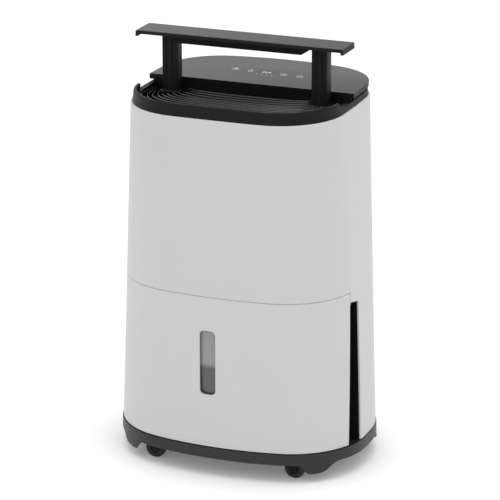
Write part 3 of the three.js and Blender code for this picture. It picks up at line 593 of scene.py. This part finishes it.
def tank_plastic():
    """Smoked clear plastic, darker towards the bottom, below a band of heights."""
    dark = (0.085, 0.088, 0.09)
    light = (0.26, 0.262, 0.265)
    material, shader = node_material("smoke_plastic", light, 0.16)
    nodes = material.node_tree.nodes
    links = material.node_tree.links
    coordinates = nodes.new("ShaderNodeTexCoord")
    split = nodes.new("ShaderNodeSeparateXYZ")
    links.new(coordinates.outputs["Object"], split.inputs["Vector"])
    height = nodes.new("ShaderNodeMapRange")
    height.inputs["From Min"].default_value = TONE_BAND_Z0 * MM
    height.inputs["From Max"].default_value = TONE_BAND_Z1 * MM
    links.new(split.outputs["Z"], height.inputs["Value"])
    links.new(color_between(material, height.outputs["Result"], dark, light), shader.inputs["Base Color"])
    waves = textured(material, "ShaderNodeTexNoise", 60)
    bump(material, shader, waves.outputs["Fac"], 0.2, 0.1)
    return material


def woven_mesh():
    """Nylon filter gauze: a fine square weave."""
    material, shader = node_material("filter_gauze", (0.03, 0.031, 0.033), 0.7)
    weave = textured(material, "ShaderNodeTexVoronoi", 700)
    tone = color_between(material, weave.outputs["Distance"], (0.05, 0.051, 0.054), (0.012, 0.012, 0.013))
    material.node_tree.links.new(tone, shader.inputs["Base Color"])
    bump(material, shader, weave.outputs["Distance"], 0.6, 0.3)
    return material


def lit_symbol():
    """The pale print and light of the touch keys."""
    material, shader = node_material("lit_symbol", (0.42, 0.42, 0.42), 0.5)
    grain = textured(material, "ShaderNodeTexNoise", 500)
    tone = color_between(material, grain.outputs["Fac"], (0.34, 0.34, 0.34), (0.5, 0.5, 0.5))
    material.node_tree.links.new(tone, shader.inputs["Base Color"])
    shader.inputs["Emission Color"].default_value = (1, 1, 1, 1)
    shader.inputs["Emission Strength"].default_value = 0.3
    return material


# The tank plastic turns darker below this band of heights.
TONE_BAND_Z0 = 158
TONE_BAND_Z1 = 176
WHITE = moulded("white_plastic", (0.525, 0.525, 0.525), 0.42, 900, 0.02, 0.01)
BLACK = moulded("black_plastic", (0.007, 0.007, 0.0073), 0.45, 1100, 0.04, gloss=0.14)
BASE_BLACK = moulded("base_plastic", (0.012, 0.012, 0.0123), 0.42, 1100, 0.04, gloss=0.4)
PANEL_GREY = moulded("panel_grey", (0.011, 0.011, 0.0113), 0.36, 1400, 0.02, gloss=0.3)
GRILLE = moulded("grille_plastic", (0.006, 0.006, 0.0062), 0.25, 900, 0.01, gloss=0.9)
INNER_BLACK = moulded("inner_black", (0.004, 0.004, 0.0042), 0.6, 700, 0.05, gloss=0.1)
NATURAL = moulded("natural_plastic", (0.55, 0.55, 0.51), 0.5, 600, 0.03)
RUBBER = moulded("rubber", (0.012, 0.012, 0.012), 0.75, 1500, 0.05)
PAINTED = moulded("painted_steel", (0.015, 0.015, 0.017), 0.3, 250, 0.05)
BOARD = moulded("circuit_board", (0.02, 0.12, 0.06), 0.45, 300, 0.02, 0.3)
FOAM = moulded("foam", (0.75, 0.74, 0.7), 0.9, 350, 0.2)
SMOKE = tank_plastic()
GAUZE = woven_mesh()
SYMBOL = lit_symbol()
STEEL = drawn_metal("zinc_steel", (0.55, 0.56, 0.58), 0.35, 120)
COPPER = drawn_metal("copper", (0.72, 0.33, 0.18), 0.3, 90)
FINS = drawn_metal("aluminium_fins", (0.72, 0.73, 0.75), 0.4, 260)


# ------------------------------------------------------------ white casing
GRID_ROW = 26  # about how far apart the grid's rows lie
WIDE_STEP = 14  # and its columns, in units of u
CASING_EDGE = 0.12


def front_cover():
    """The front cover, which comes down over the hand slots at its sides."""
    base = TANK_Z + TANK_GAP
    place = casing_place(True, COVER_STEP - JOINT_GAP)
    tank_edge = half_length(base, True, SLOT_GAP - SLOT_WIDTH)
    rear_edge = half_length(base, True, COVER_STEP - JOINT_GAP)
    first = CORE + (tank_edge - CORE) * (REACH - CORE) / (rear_edge - CORE)
    columns = span(first, REACH, WIDE_STEP)
    marks = [side * u for side in (-1, 1) for u in columns]
    patch = holed_patch(
        "front_cover_skin", place, (-REACH, REACH), (base, COVER_Z), [], 0, WIDE_STEP, GRID_ROW,
        marks, TOP_MARKS,
    )
    heads = [slot_head(side, [place(side * u, base) for u in columns]) for side in (-1, 1)]
    cover = recalculate(joined("front_cover_skin", patch, *heads))
    thickened(cover, WALL)
    bevelled(cover, CASING_EDGE, 2)
    return finish_piece(cover, WHITE, "root", ["front_cover"])


def slot_head(side, top_row):
    """The cover above a hand slot, hanging from a row of its points, with a lip that curves inwards."""
    round_corner = 6
    lip_height = 4.5
    lip_depth = 2.5
    verts = list(top_row)
    base = top_row[0][2]
    shares = [0.25, 0.5, 0.7, 0.8, 0.87, 0.92, 0.96, 1]
    for share in shares:
        for _, y, _ in top_row:
            along = y - seam_y(base)
            inwards = max(0.0, round_corner - (along + SLOT_WIDTH - SLOT_GAP))
            drop = round_corner - math.sqrt(max(round_corner**2 - inwards**2, 0))
            backwards = min(max(1 + along / SLOT_WIDTH, 0), 1)
            low = SLOT_TOP_Z - drop - (SLOT_TOP_Z - SLOT_TOP_REAR_Z) * backwards
            z = base + (low - base) * share
            curl = max(0.0, 1 - (z - low) / lip_height)
            inset = 0 if along > 0 else lip_depth * (1 - math.sqrt(1 - min(curl, 1) ** 2))
            half = cut_at_y(right_half(z, inset), seam_y(z) + along, True)
            verts.append((side * half[-1][0], half[-1][1], z))
    faces = grid_faces(len(shares) + 1, len(top_row))
    return new_object(f"slot_head_{side}", verts, faces)


def tank_front():
    place = casing_place(True, -SLOT_WIDTH)
    half = WINDOW_WIDTH / 2
    corner = 7
    window = (WINDOW_X - half, WINDOW_X + half, WINDOW_Z0, WINDOW_Z1, corner)
    z_range = (BODY_Z + 0.6, TANK_Z - TANK_GAP)
    patch = holed_patch("tank_front_skin", place, (-REACH, REACH), z_range, [window], 4, WIDE_STEP, GRID_ROW)
    thickened(patch, TANK_WALL)
    bevelled(patch, 1.2, 4)
    return finish_piece(patch, WHITE, "tank", ["tank_front"])


FILTER_HALF = 104
FILTER_Z0 = 286
FILTER_Z1 = 505
FILTER_GAP = 0.6
LOUVRE_ROWS = 8
LOUVRE_PITCH = 24
LOUVRE_WIDTH = 90
LOUVRE_HEIGHT = 13
LOUVRE_CORNER = 5.5
LOUVRE_X = (-94, 4)  # left ends of the two columns


def rear_shell():
    """The rear shell, stepped back above the hand slots, with a strip that backs the joint."""
    opening = (-FILTER_HALF, FILTER_HALF, FILTER_Z0, FILTER_Z1, 6)
    step = SLOT_TOP_REAR_Z - JOINT_GAP
    low = holed_patch(
        "low_skin", casing_place(False, 0), (-REACH, REACH), (BODY_Z + FOOT_GAP, step), [], 0,
        WIDE_STEP, GRID_ROW,
    )
    high = holed_patch(
        "high_skin", casing_place(False, COVER_STEP), (-REACH, REACH), (step - 0.02, COVER_Z), [opening], 5,
        WIDE_STEP, GRID_ROW, z_marks=TOP_MARKS,
    )
    for patch in (low, high):
        thickened(patch, WALL)
        bevelled(patch, CASING_EDGE, 2)
    strips = [joint_strip(side) for side in (-1, 1)]
    shell = joined("rear_shell_skin", low, high, *strips)
    smooth(shell)
    return finish_piece(shell, WHITE, "root", ["rear_shell"])


def joint_strip(side):
    """The strip of the rear shell that lies behind the joint with the front cover."""
    inner = WALL + 0.25
    verts = []
    levels = span(TANK_Z, COVER_Z - 4, GRID_ROW)
    for z in levels:
        for inset, along in ((inner, -4), (inner, 6), (inner + 1, 6), (inner + 1, -4)):
            x, y = cut_at_y(right_half(z, inset), seam_y(z) + COVER_STEP + along, True)[-1]
            verts.append((side * x, y, z))
    faces = grid_faces(len(levels), 4, closed=True)
    faces.append((0, 1, 2, 3))
    faces.append(tuple(range(len(verts) - 4, len(verts))))
    return recalculate(new_object(f"joint_strip_{side}", verts, faces))


def filter_cover():
    place = casing_place(False, 0)
    slots = []
    for row in range(LOUVRE_ROWS):
        z = FILTER_Z0 + 18 + row * LOUVRE_PITCH
        for x in LOUVRE_X:
            slots.append((x, x + LOUVRE_WIDTH, z, z + LOUVRE_HEIGHT, LOUVRE_CORNER))
    edge = FILTER_HALF - FILTER_GAP
    z_range = (FILTER_Z0 + FILTER_GAP, FILTER_Z1 - FILTER_GAP)
    patch = holed_patch("filter_cover_skin", place, (-edge, edge), z_range, slots, 3, WIDE_STEP, 12)
    thickened(patch, WALL)
    bevelled(patch, 0.6)
    return finish_piece(patch, WHITE, "filter", ["filter_cover"])


# ------------------------------------------------------------ black base
# Each notch between two castor guards: where it starts and ends, and the run of its sloping ends
FRONT_NOTCH = (-136, 136, 14)
SIDE_NOTCH = (-110, 58, 26)


def notch_height(position, low, high, run):
    """How far a guard notch cuts up at a place between its two ends."""
    inside = min(position - low, high - position)
    if inside <= 0:
        return GUARD_Z
    share = min(inside / run, 1.0)
    return GUARD_Z + (SKIRT_Z - GUARD_Z) * (0.5 - 0.5 * math.cos(math.pi * share))


def base_inset(z):
    """The base stands a little proud of the casing and tucks in at its lower edge."""
    tuck = max(0.0, 1 - (z - GUARD_Z) / 4)
    return -1.2 + 1.8 * tuck


def base_pan():
    reference = skin_outline(SKIRT_Z, 0)
    columns = len(reference)
    rows = 12
    top = BODY_Z - FOOT_GAP
    verts = []
    for r in range(rows + 1):
        for c in range(columns):
            x, y = reference[c]
            low = max(notch_height(x, *FRONT_NOTCH), notch_height(y, *SIDE_NOTCH))
            z = low + (top - low) * r / rows
            px, py = skin_outline(z, base_inset(z))[c] if r in (0, rows) else verts_at(c, z)
            verts.append((px, py, z))
    skirt = new_object("base_skirt", verts, grid_faces(rows + 1, columns, closed=True))
    thickened(skirt, 3)
    bevelled(skirt, 0.9, 3, 50)
    deck = stack("base_deck", (BODY_Z - 6, 1), (BODY_Z - 0.9, 1))
    base = joined("base_pan_skin", skirt, deck)
    smooth(base, 50)
    return finish_piece(base, BASE_BLACK, "root", ["base_pan"])


_loops = {}


def verts_at(column, z):
    """A point of the base's outline at a height, from outlines kept for whole half millimetres."""
    key = round(z * 2)
    if key not in _loops:
        _loops[key] = skin_outline(key / 2, base_inset(key / 2))
    return _loops[key][column]


# ------------------------------------------------------------ top
def swept_ring(name, profile, keep=None):
    """A ring whose section is profile, a closed list of (inset, z). keep=(low_y, high_y) leaves an arc."""
    loops = [skin_outline(z, inset) for inset, z in profile]
    columns = len(loops[0])
    order = list(range(columns))
    closed = keep is None
    if keep:
        order = [i for i in range(-columns // 2, columns // 2 + 1) if keep[0] <= loops[0][i][1] <= keep[1]]
    verts = [(loops[r][i][0], loops[r][i][1], profile[r][1]) for i in order for r in range(len(profile))]
    width = len(profile)
    faces = []
    last = len(order) if closed else len(order) - 1
    for k in range(last):
        n = (k + 1) % len(order)
        for r in range(width):
            s = (r + 1) % width
            faces.append((k * width + r, n * width + r, n * width + s, k * width + s))
    if not closed:
        faces.append(tuple(reversed(range(width))))
        faces.append(tuple(range((len(order) - 1) * width, len(order) * width)))
    return recalculate(new_object(name, verts, faces))


def plate_behind(name, front_y, levels):
    """A plate over the rear part of the plan, through levels (z, inset)."""
    verts = []
    for z, inset in levels:
        half = resample(cut_at_y(right_half(z, inset), front_y, False), 70)
        verts += [(x, y, z) for x, y in half]
        verts += [(-x, y, z) for x, y in reversed(half[:-1])]
    columns = len(verts) // len(levels)
    faces = grid_faces(len(levels), columns, closed=True)
    last = (len(levels) - 1) * columns
    faces.append(tuple(reversed(range(columns))))
    faces.append(tuple(range(last, last + columns)))
    return recalculate(new_object(name, verts, faces))


def top_frame():
    ring = swept_ring(
        "ring",
        [(2.3, COVER_Z + 0.4), (2.3, COVER_Z + 1.4), (2.6, COVER_Z + 3.5), (3.3, RING_Z),
         (12, RING_Z), (12, COVER_Z + 0.4)],
    )
    bevelled(ring, 0.5)
    upstand = swept_ring(
        "upstand",
        [(3.2, RING_Z - 0.4), (3.7, UPSTAND_Z - 2.4), (4.3, UPSTAND_Z - 0.5), (5.2, UPSTAND_Z),
         (7.6, UPSTAND_Z), (8.5, UPSTAND_Z - 0.8), (9, RING_Z - 0.4)],
        keep=(FAR_FRONT_Y, PLATE_FRONT_Y - 0.6),
    )
    bevelled(upstand, 0.4)
    deck = plate_behind("deck", PANEL_FRONT_Y + 2, [(COVER_Z + 0.6, 8), (COVER_Z + 3, 8)])
    neck = plate_behind("neck", PANEL_FRONT_Y + 1.2, [(COVER_Z + 2, 7), (PANEL_Z - 8.4, 7)])
    whole = joined("top_frame_skin", ring, upstand, deck, neck)
    smooth(whole)
    return finish_piece(whole, BLACK, "root", ["top_frame"])


def control_panel():
    levels = [
        (PANEL_Z - 8, 2.2), (PANEL_Z - 7.4, 1.5), (PANEL_Z - 1, 1), (PANEL_Z - 0.3, 1.4), (PANEL_Z, 2.2),
    ]
    plate = plate_behind("control_panel_skin", PANEL_FRONT_Y, levels)
    pocket = prism("pocket", rounded_rect(-9.3, 9.3, 56.7, 66.5, 1.4), PANEL_Z - 1.2, PANEL_Z + 2, "z")
    cut_away(plate, pocket)
    smooth(plate, 30)
    finish_piece(plate, PANEL_GREY, "root", ["control_panel"])
    # The panel's edges and underside get painted shade.
    return shade_painted_edges(plate)


def shade_painted_edges(piece):
    """Paints shade on the edges and underside: faces that point up keep the satin grey, the rest get the
    duller black.
    """
    piece.data.materials.append(BLACK)
    for face in piece.data.polygons:
        face.material_index = 0 if face.normal.z > 0.5 else 1
    return piece


def display():
    """The display window with its lit figures."""
    lens = prism("display_window", rounded_rect(-9, 9, 57, 66.2, 1.2), PANEL_Z - 1.1, PANEL_Z + 0.05, "z")
    bevelled(lens, 0.2, 2)
    finish_piece(lens, PANEL_GREY, "root", ["display_lens"])
    strokes = []
    for centre in (-3.6, 3.6):
        strokes += digit_strokes(centre, 61.6)
    figures = joined("display_figures", *strokes)
    finish_piece(figures, SYMBOL, "root")


def stroke(points, width=1.0):
    """A printed line on the panel through (x, y) points, a hair above its face."""
    pieces = []
    for (ax, ay), (bx, by) in zip(points, points[1:]):
        length = math.dist((ax, ay), (bx, by))
        nx = -(by - ay) / length * width / 2
        ny = (bx - ax) / length * width / 2
        corners = [(ax + nx, ay + ny), (ax - nx, ay - ny), (bx - nx, by - ny), (bx + nx, by + ny)]
        pieces.append(prism("line", corners, PANEL_Z + 0.06, PANEL_Z + 0.12, "z"))
    return pieces


def circle(cx, cy, r, start=0, end=360, steps=18):
    """Points on a circle, or on an arc between two angles in degrees."""
    points = []
    for i in range(steps + 1):
        angle = math.radians(start + (end - start) * i / steps)
        points.append((cx + r * math.cos(angle), cy + r * math.sin(angle)))
    return points


def digit_strokes(cx, cy):
    """A rounded figure of the display, open at its foot."""
    return stroke(rounded_rect(cx - 1.9, cx + 1.9, cy - 3.1, cy + 3.1, 0.5, 2), 1.3)


def symbol_fan(cx, cy):
    lines = stroke(circle(cx, cy, 1.3))
    for turn in (90, 210, 330):
        angle = math.radians(turn)
        lines += stroke(circle(cx + 3.6 * math.cos(angle), cy + 3.6 * math.sin(angle), 2))
    return lines


def symbol_drop(cx, cy):
    return stroke([(cx, cy + 5.6)] + circle(cx, cy - 1.4, 3.4, 40, -220) + [(cx, cy + 5.6)])


def symbol_clock(cx, cy):
    return stroke(circle(cx, cy, 4.2)) + stroke([(cx, cy + 2.6), (cx, cy), (cx + 2, cy)])


def symbol_power(cx, cy):
    return stroke(circle(cx, cy, 4.2, 120, 420)) + stroke([(cx, cy + 0.8), (cx, cy + 5.4)])


def symbols():
    """Generic touch-key symbols, on a shallow arc either side of the display."""
    lines = symbol_fan(-50.4, 66.5)
    lines += symbol_drop(-25.9, 63.8)
    lines += symbol_clock(26.9, 60)
    lines += symbol_power(52.4, 57.9)
    for x in (-12, -4, 4, 12):
        lines += stroke(circle(x, 50.5, 0.6, steps=8))
    piece = joined("touch_symbols", *lines)
    return finish_piece(piece, SYMBOL, "root")


# ------------------------------------------------------------ outlet grille
VANES = 10
VANE_THICK = 1.7
VANE_HALF_WIDTH = 140  # of the outermost vane; each further one is smaller by the steps below
VANE_SIDE_STEP = 5
VANE_FRONT_Y = -126
VANE_FRONT_STEP = 12
VANE_POWER = 3  # exponent of the superellipse
VANE_POWER_STEP = 0.05
VANE_END_Y = PANEL_FRONT_Y - 1.5
VANE_FOOT_Z = GRILLE_FOOT_Z + 2


def vane_path(k, inset):
    """One side of a vane: a superellipse from its left end to its right end."""
    steps = 72
    half = VANE_HALF_WIDTH - VANE_SIDE_STEP * k - inset
    depth = VANE_END_Y - (VANE_FRONT_Y + VANE_FRONT_STEP * k) - inset
    power = VANE_POWER - VANE_POWER_STEP * k
    points = []
    for i in range(steps + 1):
        angle = math.pi - math.pi * i / steps
        c = math.cos(angle)
        s = math.sin(angle)
        x = half * math.copysign(abs(c) ** (2 / power), c)
        points.append((x, VANE_END_Y - depth * abs(s) ** (2 / power)))
    return points


def vane_top(y):
    """The grille slopes down to the rear, so that the handle's beam can come down over it."""
    share = (y - GRILLE_FRONT_Y) / (PLATE_FRONT_Y + 1.5 - GRILLE_FRONT_Y)
    return GRILLE_Z + (TROUGH_Z - GRILLE_Z) * min(max(share, 0), 1)


def vane(k):
    """One vane, with a rounded crest."""
    rows = []
    for (ox, oy), (ix, iy) in zip(vane_path(k, 0), vane_path(k, VANE_THICK)):
        top = vane_top(oy)
        mx = (ox + ix) / 2
        my = (oy + iy) / 2
        qx = (ox + mx) / 2
        qy = (oy + my) / 2
        px = (ix + mx) / 2
        py = (iy + my) / 2
        rows.append([
            (ox, oy, VANE_FOOT_Z), (ox, oy, top - 1), (qx, qy, top - 0.2), (mx, my, top),
            (px, py, top - 0.2), (ix, iy, top - 1), (ix, iy, VANE_FOOT_Z),
        ])
    width = len(rows[0])
    verts = [point for row in rows for point in row]
    faces = []
    for k_row in range(len(rows) - 1):
        for r in range(width):
            s = (r + 1) % width
            a = k_row * width
            faces.append((a + r, a + width + r, a + width + s, a + s))
    faces.append(tuple(reversed(range(width))))
    faces.append(tuple(range(len(verts) - width, len(verts))))
    return recalculate(new_object(f"vane_{k}", verts, faces))


def post_block(name, side, grow, z0, z1):
    """The rectangle of a post, grown all round, on one side of the machine."""
    x0 = POST_IN_X - grow
    x1 = POST_OUT_X + grow
    low, high = (x0, x1) if side > 0 else (-x1, -x0)
    return block(name, low, high, POST_FRONT_Y - grow, POST_BACK_Y + grow, z0, z1)


def post_socket(side):
    """The collar in the grille that a post comes up through."""
    collar = post_block("collar", side, 3.4, VANE_FOOT_Z - 1.8, TROUGH_Z)
    bore = post_block("bore", side, 0.5, VANE_FOOT_Z - 20, GRILLE_Z + 20)
    cut_away(collar, bore)
    return bevelled(collar, 0.5)


def outlet_grille():
    vanes = [vane(k) for k in range(VANES)]
    for piece in vanes:
        for side in (-1, 1):
            cut_away(piece, post_block("clear", side, 3.3, VANE_FOOT_Z - 5, GRILLE_Z + 5))
    rim = swept_ring(
        "rim",
        [(12.4, GRILLE_FOOT_Z), (12.4, GRILLE_Z - 1.4), (12.9, GRILLE_Z - 0.8), (14.5, GRILLE_Z - 0.8),
         (15, GRILLE_Z - 1.4), (15, GRILLE_FOOT_Z)],
        keep=(FAR_FRONT_Y, VANE_END_Y),
    )
    for vertex in rim.data.vertices:
        vertex.co.z = min(vertex.co.z, vane_top(vertex.co.y / MM) * MM)
    ribs = [
        block(f"rib_{x}", x - 1, x + 1, -128, VANE_END_Y, VANE_FOOT_Z - 1.6, VANE_FOOT_Z + 2)
        for x in (-68, 1, 70)
    ]
    tie = block("tie", -138, 138, VANE_END_Y - 2.4, VANE_END_Y + 0.4, VANE_FOOT_Z - 1.3, TROUGH_Z - 0.5)
    sockets = [post_socket(side) for side in (-1, 1)]
    whole = joined("outlet_grille_vanes", *vanes, rim, *ribs, tie, *sockets)
    smooth(whole, 50)
    return finish_piece(whole, GRILLE, "root", ["outlet_grille"])


# ------------------------------------------------------------ carrying handle
def handle_plate():
    """The plate, whose ends follow the body's outline, with a lip at each end and a beam under it."""
    sections = []
    columns = 24
    for z, inset in ((PANEL_Z - PLATE_THICK, 1), (PANEL_Z - 0.8, 1), (PANEL_Z - 0.2, 1.4), (PANEL_Z, 2.2)):
        right = []
        for c in range(columns + 1):
            y = PLATE_FRONT_Y + (PLATE_BACK_Y - PLATE_FRONT_Y) * c / columns
            x, _ = cut_at_y(right_half(z, inset), y, True)[-1]
            right.append((x, y, z + LIFT))
        left = [(-x, y, z) for x, y, z in reversed(right)]
        sections.append(right + left)
    width = len(sections[0])
    verts = [point for section in sections for point in section]
    faces = grid_faces(len(sections), width, closed=True)
    faces.append(tuple(reversed(range(width))))
    faces.append(tuple(range(len(verts) - width, len(verts))))
    plate = recalculate(new_object("plate", verts, faces))
    bevelled(plate, 0.7)
    lips = [end_lip(side) for side in (-1, 1)]
    piece = joined("handle_plate_skin", plate, *lips)
    smooth(piece)
    finish_piece(handle_beam(), INNER_BLACK, "handle")
    finish_piece(piece, PANEL_GREY, "handle", ["handle_plate"])
    # The plate's edges and underside get painted shade.
    return shade_painted_edges(piece)


def end_lip(side):
    """The lip that hangs down from one end of the plate."""
    columns = 16
    levels = ((PANEL_Z - 8.2, 0.4), (PANEL_Z - 4, 1), (PANEL_Z - 3, 1.2))
    verts = []
    for z, inset in levels:
        for c in range(columns + 1):
            y = PLATE_FRONT_Y + 0.6 + (PLATE_BACK_Y - PLATE_FRONT_Y - 1.2) * c / columns
            x, _ = cut_at_y(right_half(z, inset), y, True)[-1]
            verts.append((side * x, y, z + LIFT))
    faces = grid_faces(len(levels), columns + 1)
    if side < 0:
        faces = [tuple(reversed(face)) for face in faces]
    piece = new_object(f"end_lip_{side}", verts, faces)
    thickened(piece, 4)
    return bevelled(piece, 0.5)


def handle_beam():
    """The stiff beam between the posts, with sloping ends."""
    top = HANDLE_Z - 1.4
    shoulder = HANDLE_Z - PLATE_THICK - 4
    low = HANDLE_Z - 14.3
    points = [
        (-POST_IN_X, shoulder),
        (-POST_IN_X + 9, low),
        (POST_IN_X - 9, low),
        (POST_IN_X, shoulder),
        (POST_IN_X, top),
        (-POST_IN_X, top),
    ]
    beam = prism("beam", points, PLATE_FRONT_Y + 3, PLATE_BACK_Y - 6, "y")
    return bevelled(beam, 1.2)


def handle_post(side):
    """A post with two shallow grooves down its front."""
    name = "right" if side > 0 else "left"
    shaft = post_block("shaft", side, 0, POST_FOOT_Z, HANDLE_Z - PLATE_THICK)
    groove_y = POST_FRONT_Y + 1.4
    for start in (7, 16):
        x = side * (POST_IN_X + start)
        groove = block("groove", x - 1, x + 1, POST_FRONT_Y - 2, groove_y, POST_FOOT_Z + 8, HANDLE_Z)
        cut_away(shaft, groove)
    bevelled(shaft, 0.5)
    stop = post_block("stop", side, 3, POST_FOOT_Z, POST_FOOT_Z + 5)
    post = joined(f"post_{name}", shaft, stop)
    smooth(post)
    return finish_piece(post, BLACK, "handle", [f"handle_post_{name}"])


# ------------------------------------------------------------ castors
WHEEL_R = 15
WHEEL_HALF = 6.5
CASTOR_X = 97
CASTOR_TRAIL = 12
CASTORS = (
    ("front_right", 1, -102),
    ("front_left", -1, -102),
    ("rear_right", 1, 82),
    ("rear_left", -1, 82),
)


def castor_wheel(place, side, y):
    """A wheel with a rounded tread and a dished hub."""
    profile = [
        (2.3, -WHEEL_HALF + 1.4), (7.5, -WHEEL_HALF + 1.4), (8.2, -WHEEL_HALF), (12.6, -WHEEL_HALF),
        (WHEEL_R - 0.8, -WHEEL_HALF + 1), (WHEEL_R, -WHEEL_HALF + 2.8),
        (WHEEL_R, WHEEL_HALF - 2.8), (WHEEL_R - 0.8, WHEEL_HALF - 1),
        (12.6, WHEEL_HALF), (8.2, WHEEL_HALF), (7.5, WHEEL_HALF - 1.4), (2.3, WHEEL_HALF - 1.4),
        (2.3, -WHEEL_HALF + 1.4),
    ]
    centre = (side * (CASTOR_X + CASTOR_TRAIL), y, WHEEL_R)
    wheel = turned(f"wheel_{place}", profile, centre, 64)
    smooth(wheel)
    return finish_piece(wheel, RUBBER, f"wheel_{place}", [f"castor_wheel_{place}"])


# ------------------------------------------------------------ CAD nodes that keep their shape
KEPT = {
    "inner_chassis": INNER_BLACK,
    "post_guide_right": INNER_BLACK,
    "post_guide_left": INNER_BLACK,
    "fan_scroll": INNER_BLACK,
    "tank_tub": SMOKE,
    "tank_lid": NATURAL,
    "tank_bail": BLACK,
    "tank_float": FOAM,
    "control_board": BOARD,
    "pre_filter": GAUZE,
    "compressor": PAINTED,
    "accumulator": PAINTED,
    "compressor_feet": STEEL,
    "fan_motor": STEEL,
    "capacitor": STEEL,
    "condenser": FINS,
    "evaporator": FINS,
    "drip_tray": NATURAL,
    "fan_impeller": NATURAL,
    "electrical_box": NATURAL,
    "suction_pipe": COPPER,
    "discharge_pipe": COPPER,
    "filter_drier": COPPER,
    "cord_gland": RUBBER,
    "drain_bung": RUBBER,
    "screw_upper_right": STEEL,
    "screw_upper_left": STEEL,
    "screw_lower_right": STEEL,
    "screw_lower_left": STEEL,
}


def refinish(node, material):
    """Gives a CAD node its finish, and leaves its shape alone."""
    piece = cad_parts[node]
    piece.data.materials.clear()
    piece.data.materials.append(material)
    piece.data.set_sharp_from_angle(angle=math.radians(32))


# ------------------------------------------------------------ studio
def floor():
    """A pale floor that runs to the horizon."""
    reach = 30000
    corners = [(-reach, -reach, 0), (reach, -reach, 0), (reach, reach, 0), (-reach, reach, 0)]
    plane = new_object("floor", corners, [(0, 1, 2, 3)])
    material, shader = node_material("studio_floor", (0.9, 0.9, 0.9), 0.7)
    cloud = textured(material, "ShaderNodeTexNoise", 3)
    tone = color_between(material, cloud.outputs["Fac"], (0.9, 0.9, 0.9), (0.91, 0.91, 0.91))
    material.node_tree.links.new(tone, shader.inputs["Base Color"])
    shader.inputs["Specular IOR Level"].default_value = 0.1
    shader.inputs["Emission Color"].default_value = (1, 1, 1, 1)
    shader.inputs["Emission Strength"].default_value = 0.12
    plane.data.materials.append(material)


def area_light(name, place, target, size, power):
    data = bpy.data.lights.new(name, "AREA")
    data.shape = "DISK"
    data.size = size
    data.energy = power
    lamp = bpy.data.objects.new(name, data)
    lamp.location = place
    lamp.rotation_euler = (Vector(target) - Vector(place)).to_track_quat("-Z", "Y").to_euler()
    bpy.context.scene.collection.objects.link(lamp)
    return lamp


def lights():
    world = bpy.data.worlds.new("studio")
    world.use_nodes = True
    back = world.node_tree.nodes["Background"]
    back.inputs["Color"].default_value = (1, 1, 1, 1)
    back.inputs["Strength"].default_value = 1.0
    bpy.context.scene.world = world
    area_light("overhead", (0.3, -0.4, 3.2), (0, 0, 0.3), 2.4, 25)


CAMERA_AZIMUTH = 21.63
CAMERA_ELEVATION = 18.15
CAMERA_DISTANCE = 4.1295
CAMERA_TARGET = (0.0148, -0.042, 0.3153)
CAMERA_LENS = 206.4


def camera():
    azimuth = math.radians(CAMERA_AZIMUTH)
    elevation = math.radians(CAMERA_ELEVATION)
    back = Vector((
        math.sin(azimuth) * math.cos(elevation),
        -math.cos(azimuth) * math.cos(elevation),
        math.sin(elevation),
    ))
    data = bpy.data.cameras.new("camera")
    data.lens = CAMERA_LENS
    data.sensor_width = 36
    data.clip_end = 100
    view = bpy.data.objects.new("camera", data)
    view.location = Vector(CAMERA_TARGET) + back * CAMERA_DISTANCE
    view.rotation_euler = (-back).to_track_quat("-Z", "Y").to_euler()
    bpy.context.scene.collection.objects.link(view)
    bpy.context.scene.camera = view


# ------------------------------------------------------------ the scene
camera()
lights()
floor()
bpy.context.scene.view_settings.view_transform = "Standard"

front_cover()
tank_front()
rear_shell()
filter_cover()
base_pan()
top_frame()
control_panel()
display()
symbols()
outlet_grille()
handle_plate()
for post_side in (-1, 1):
    handle_post(post_side)
for castor in CASTORS:
    castor_wheel(*castor)
    refinish(f"castor_fork_{castor[0]}", BLACK)
    refinish(f"castor_axle_{castor[0]}", BLACK)
for kept_node, kept_material in KEPT.items():
    refinish(kept_node, kept_material)
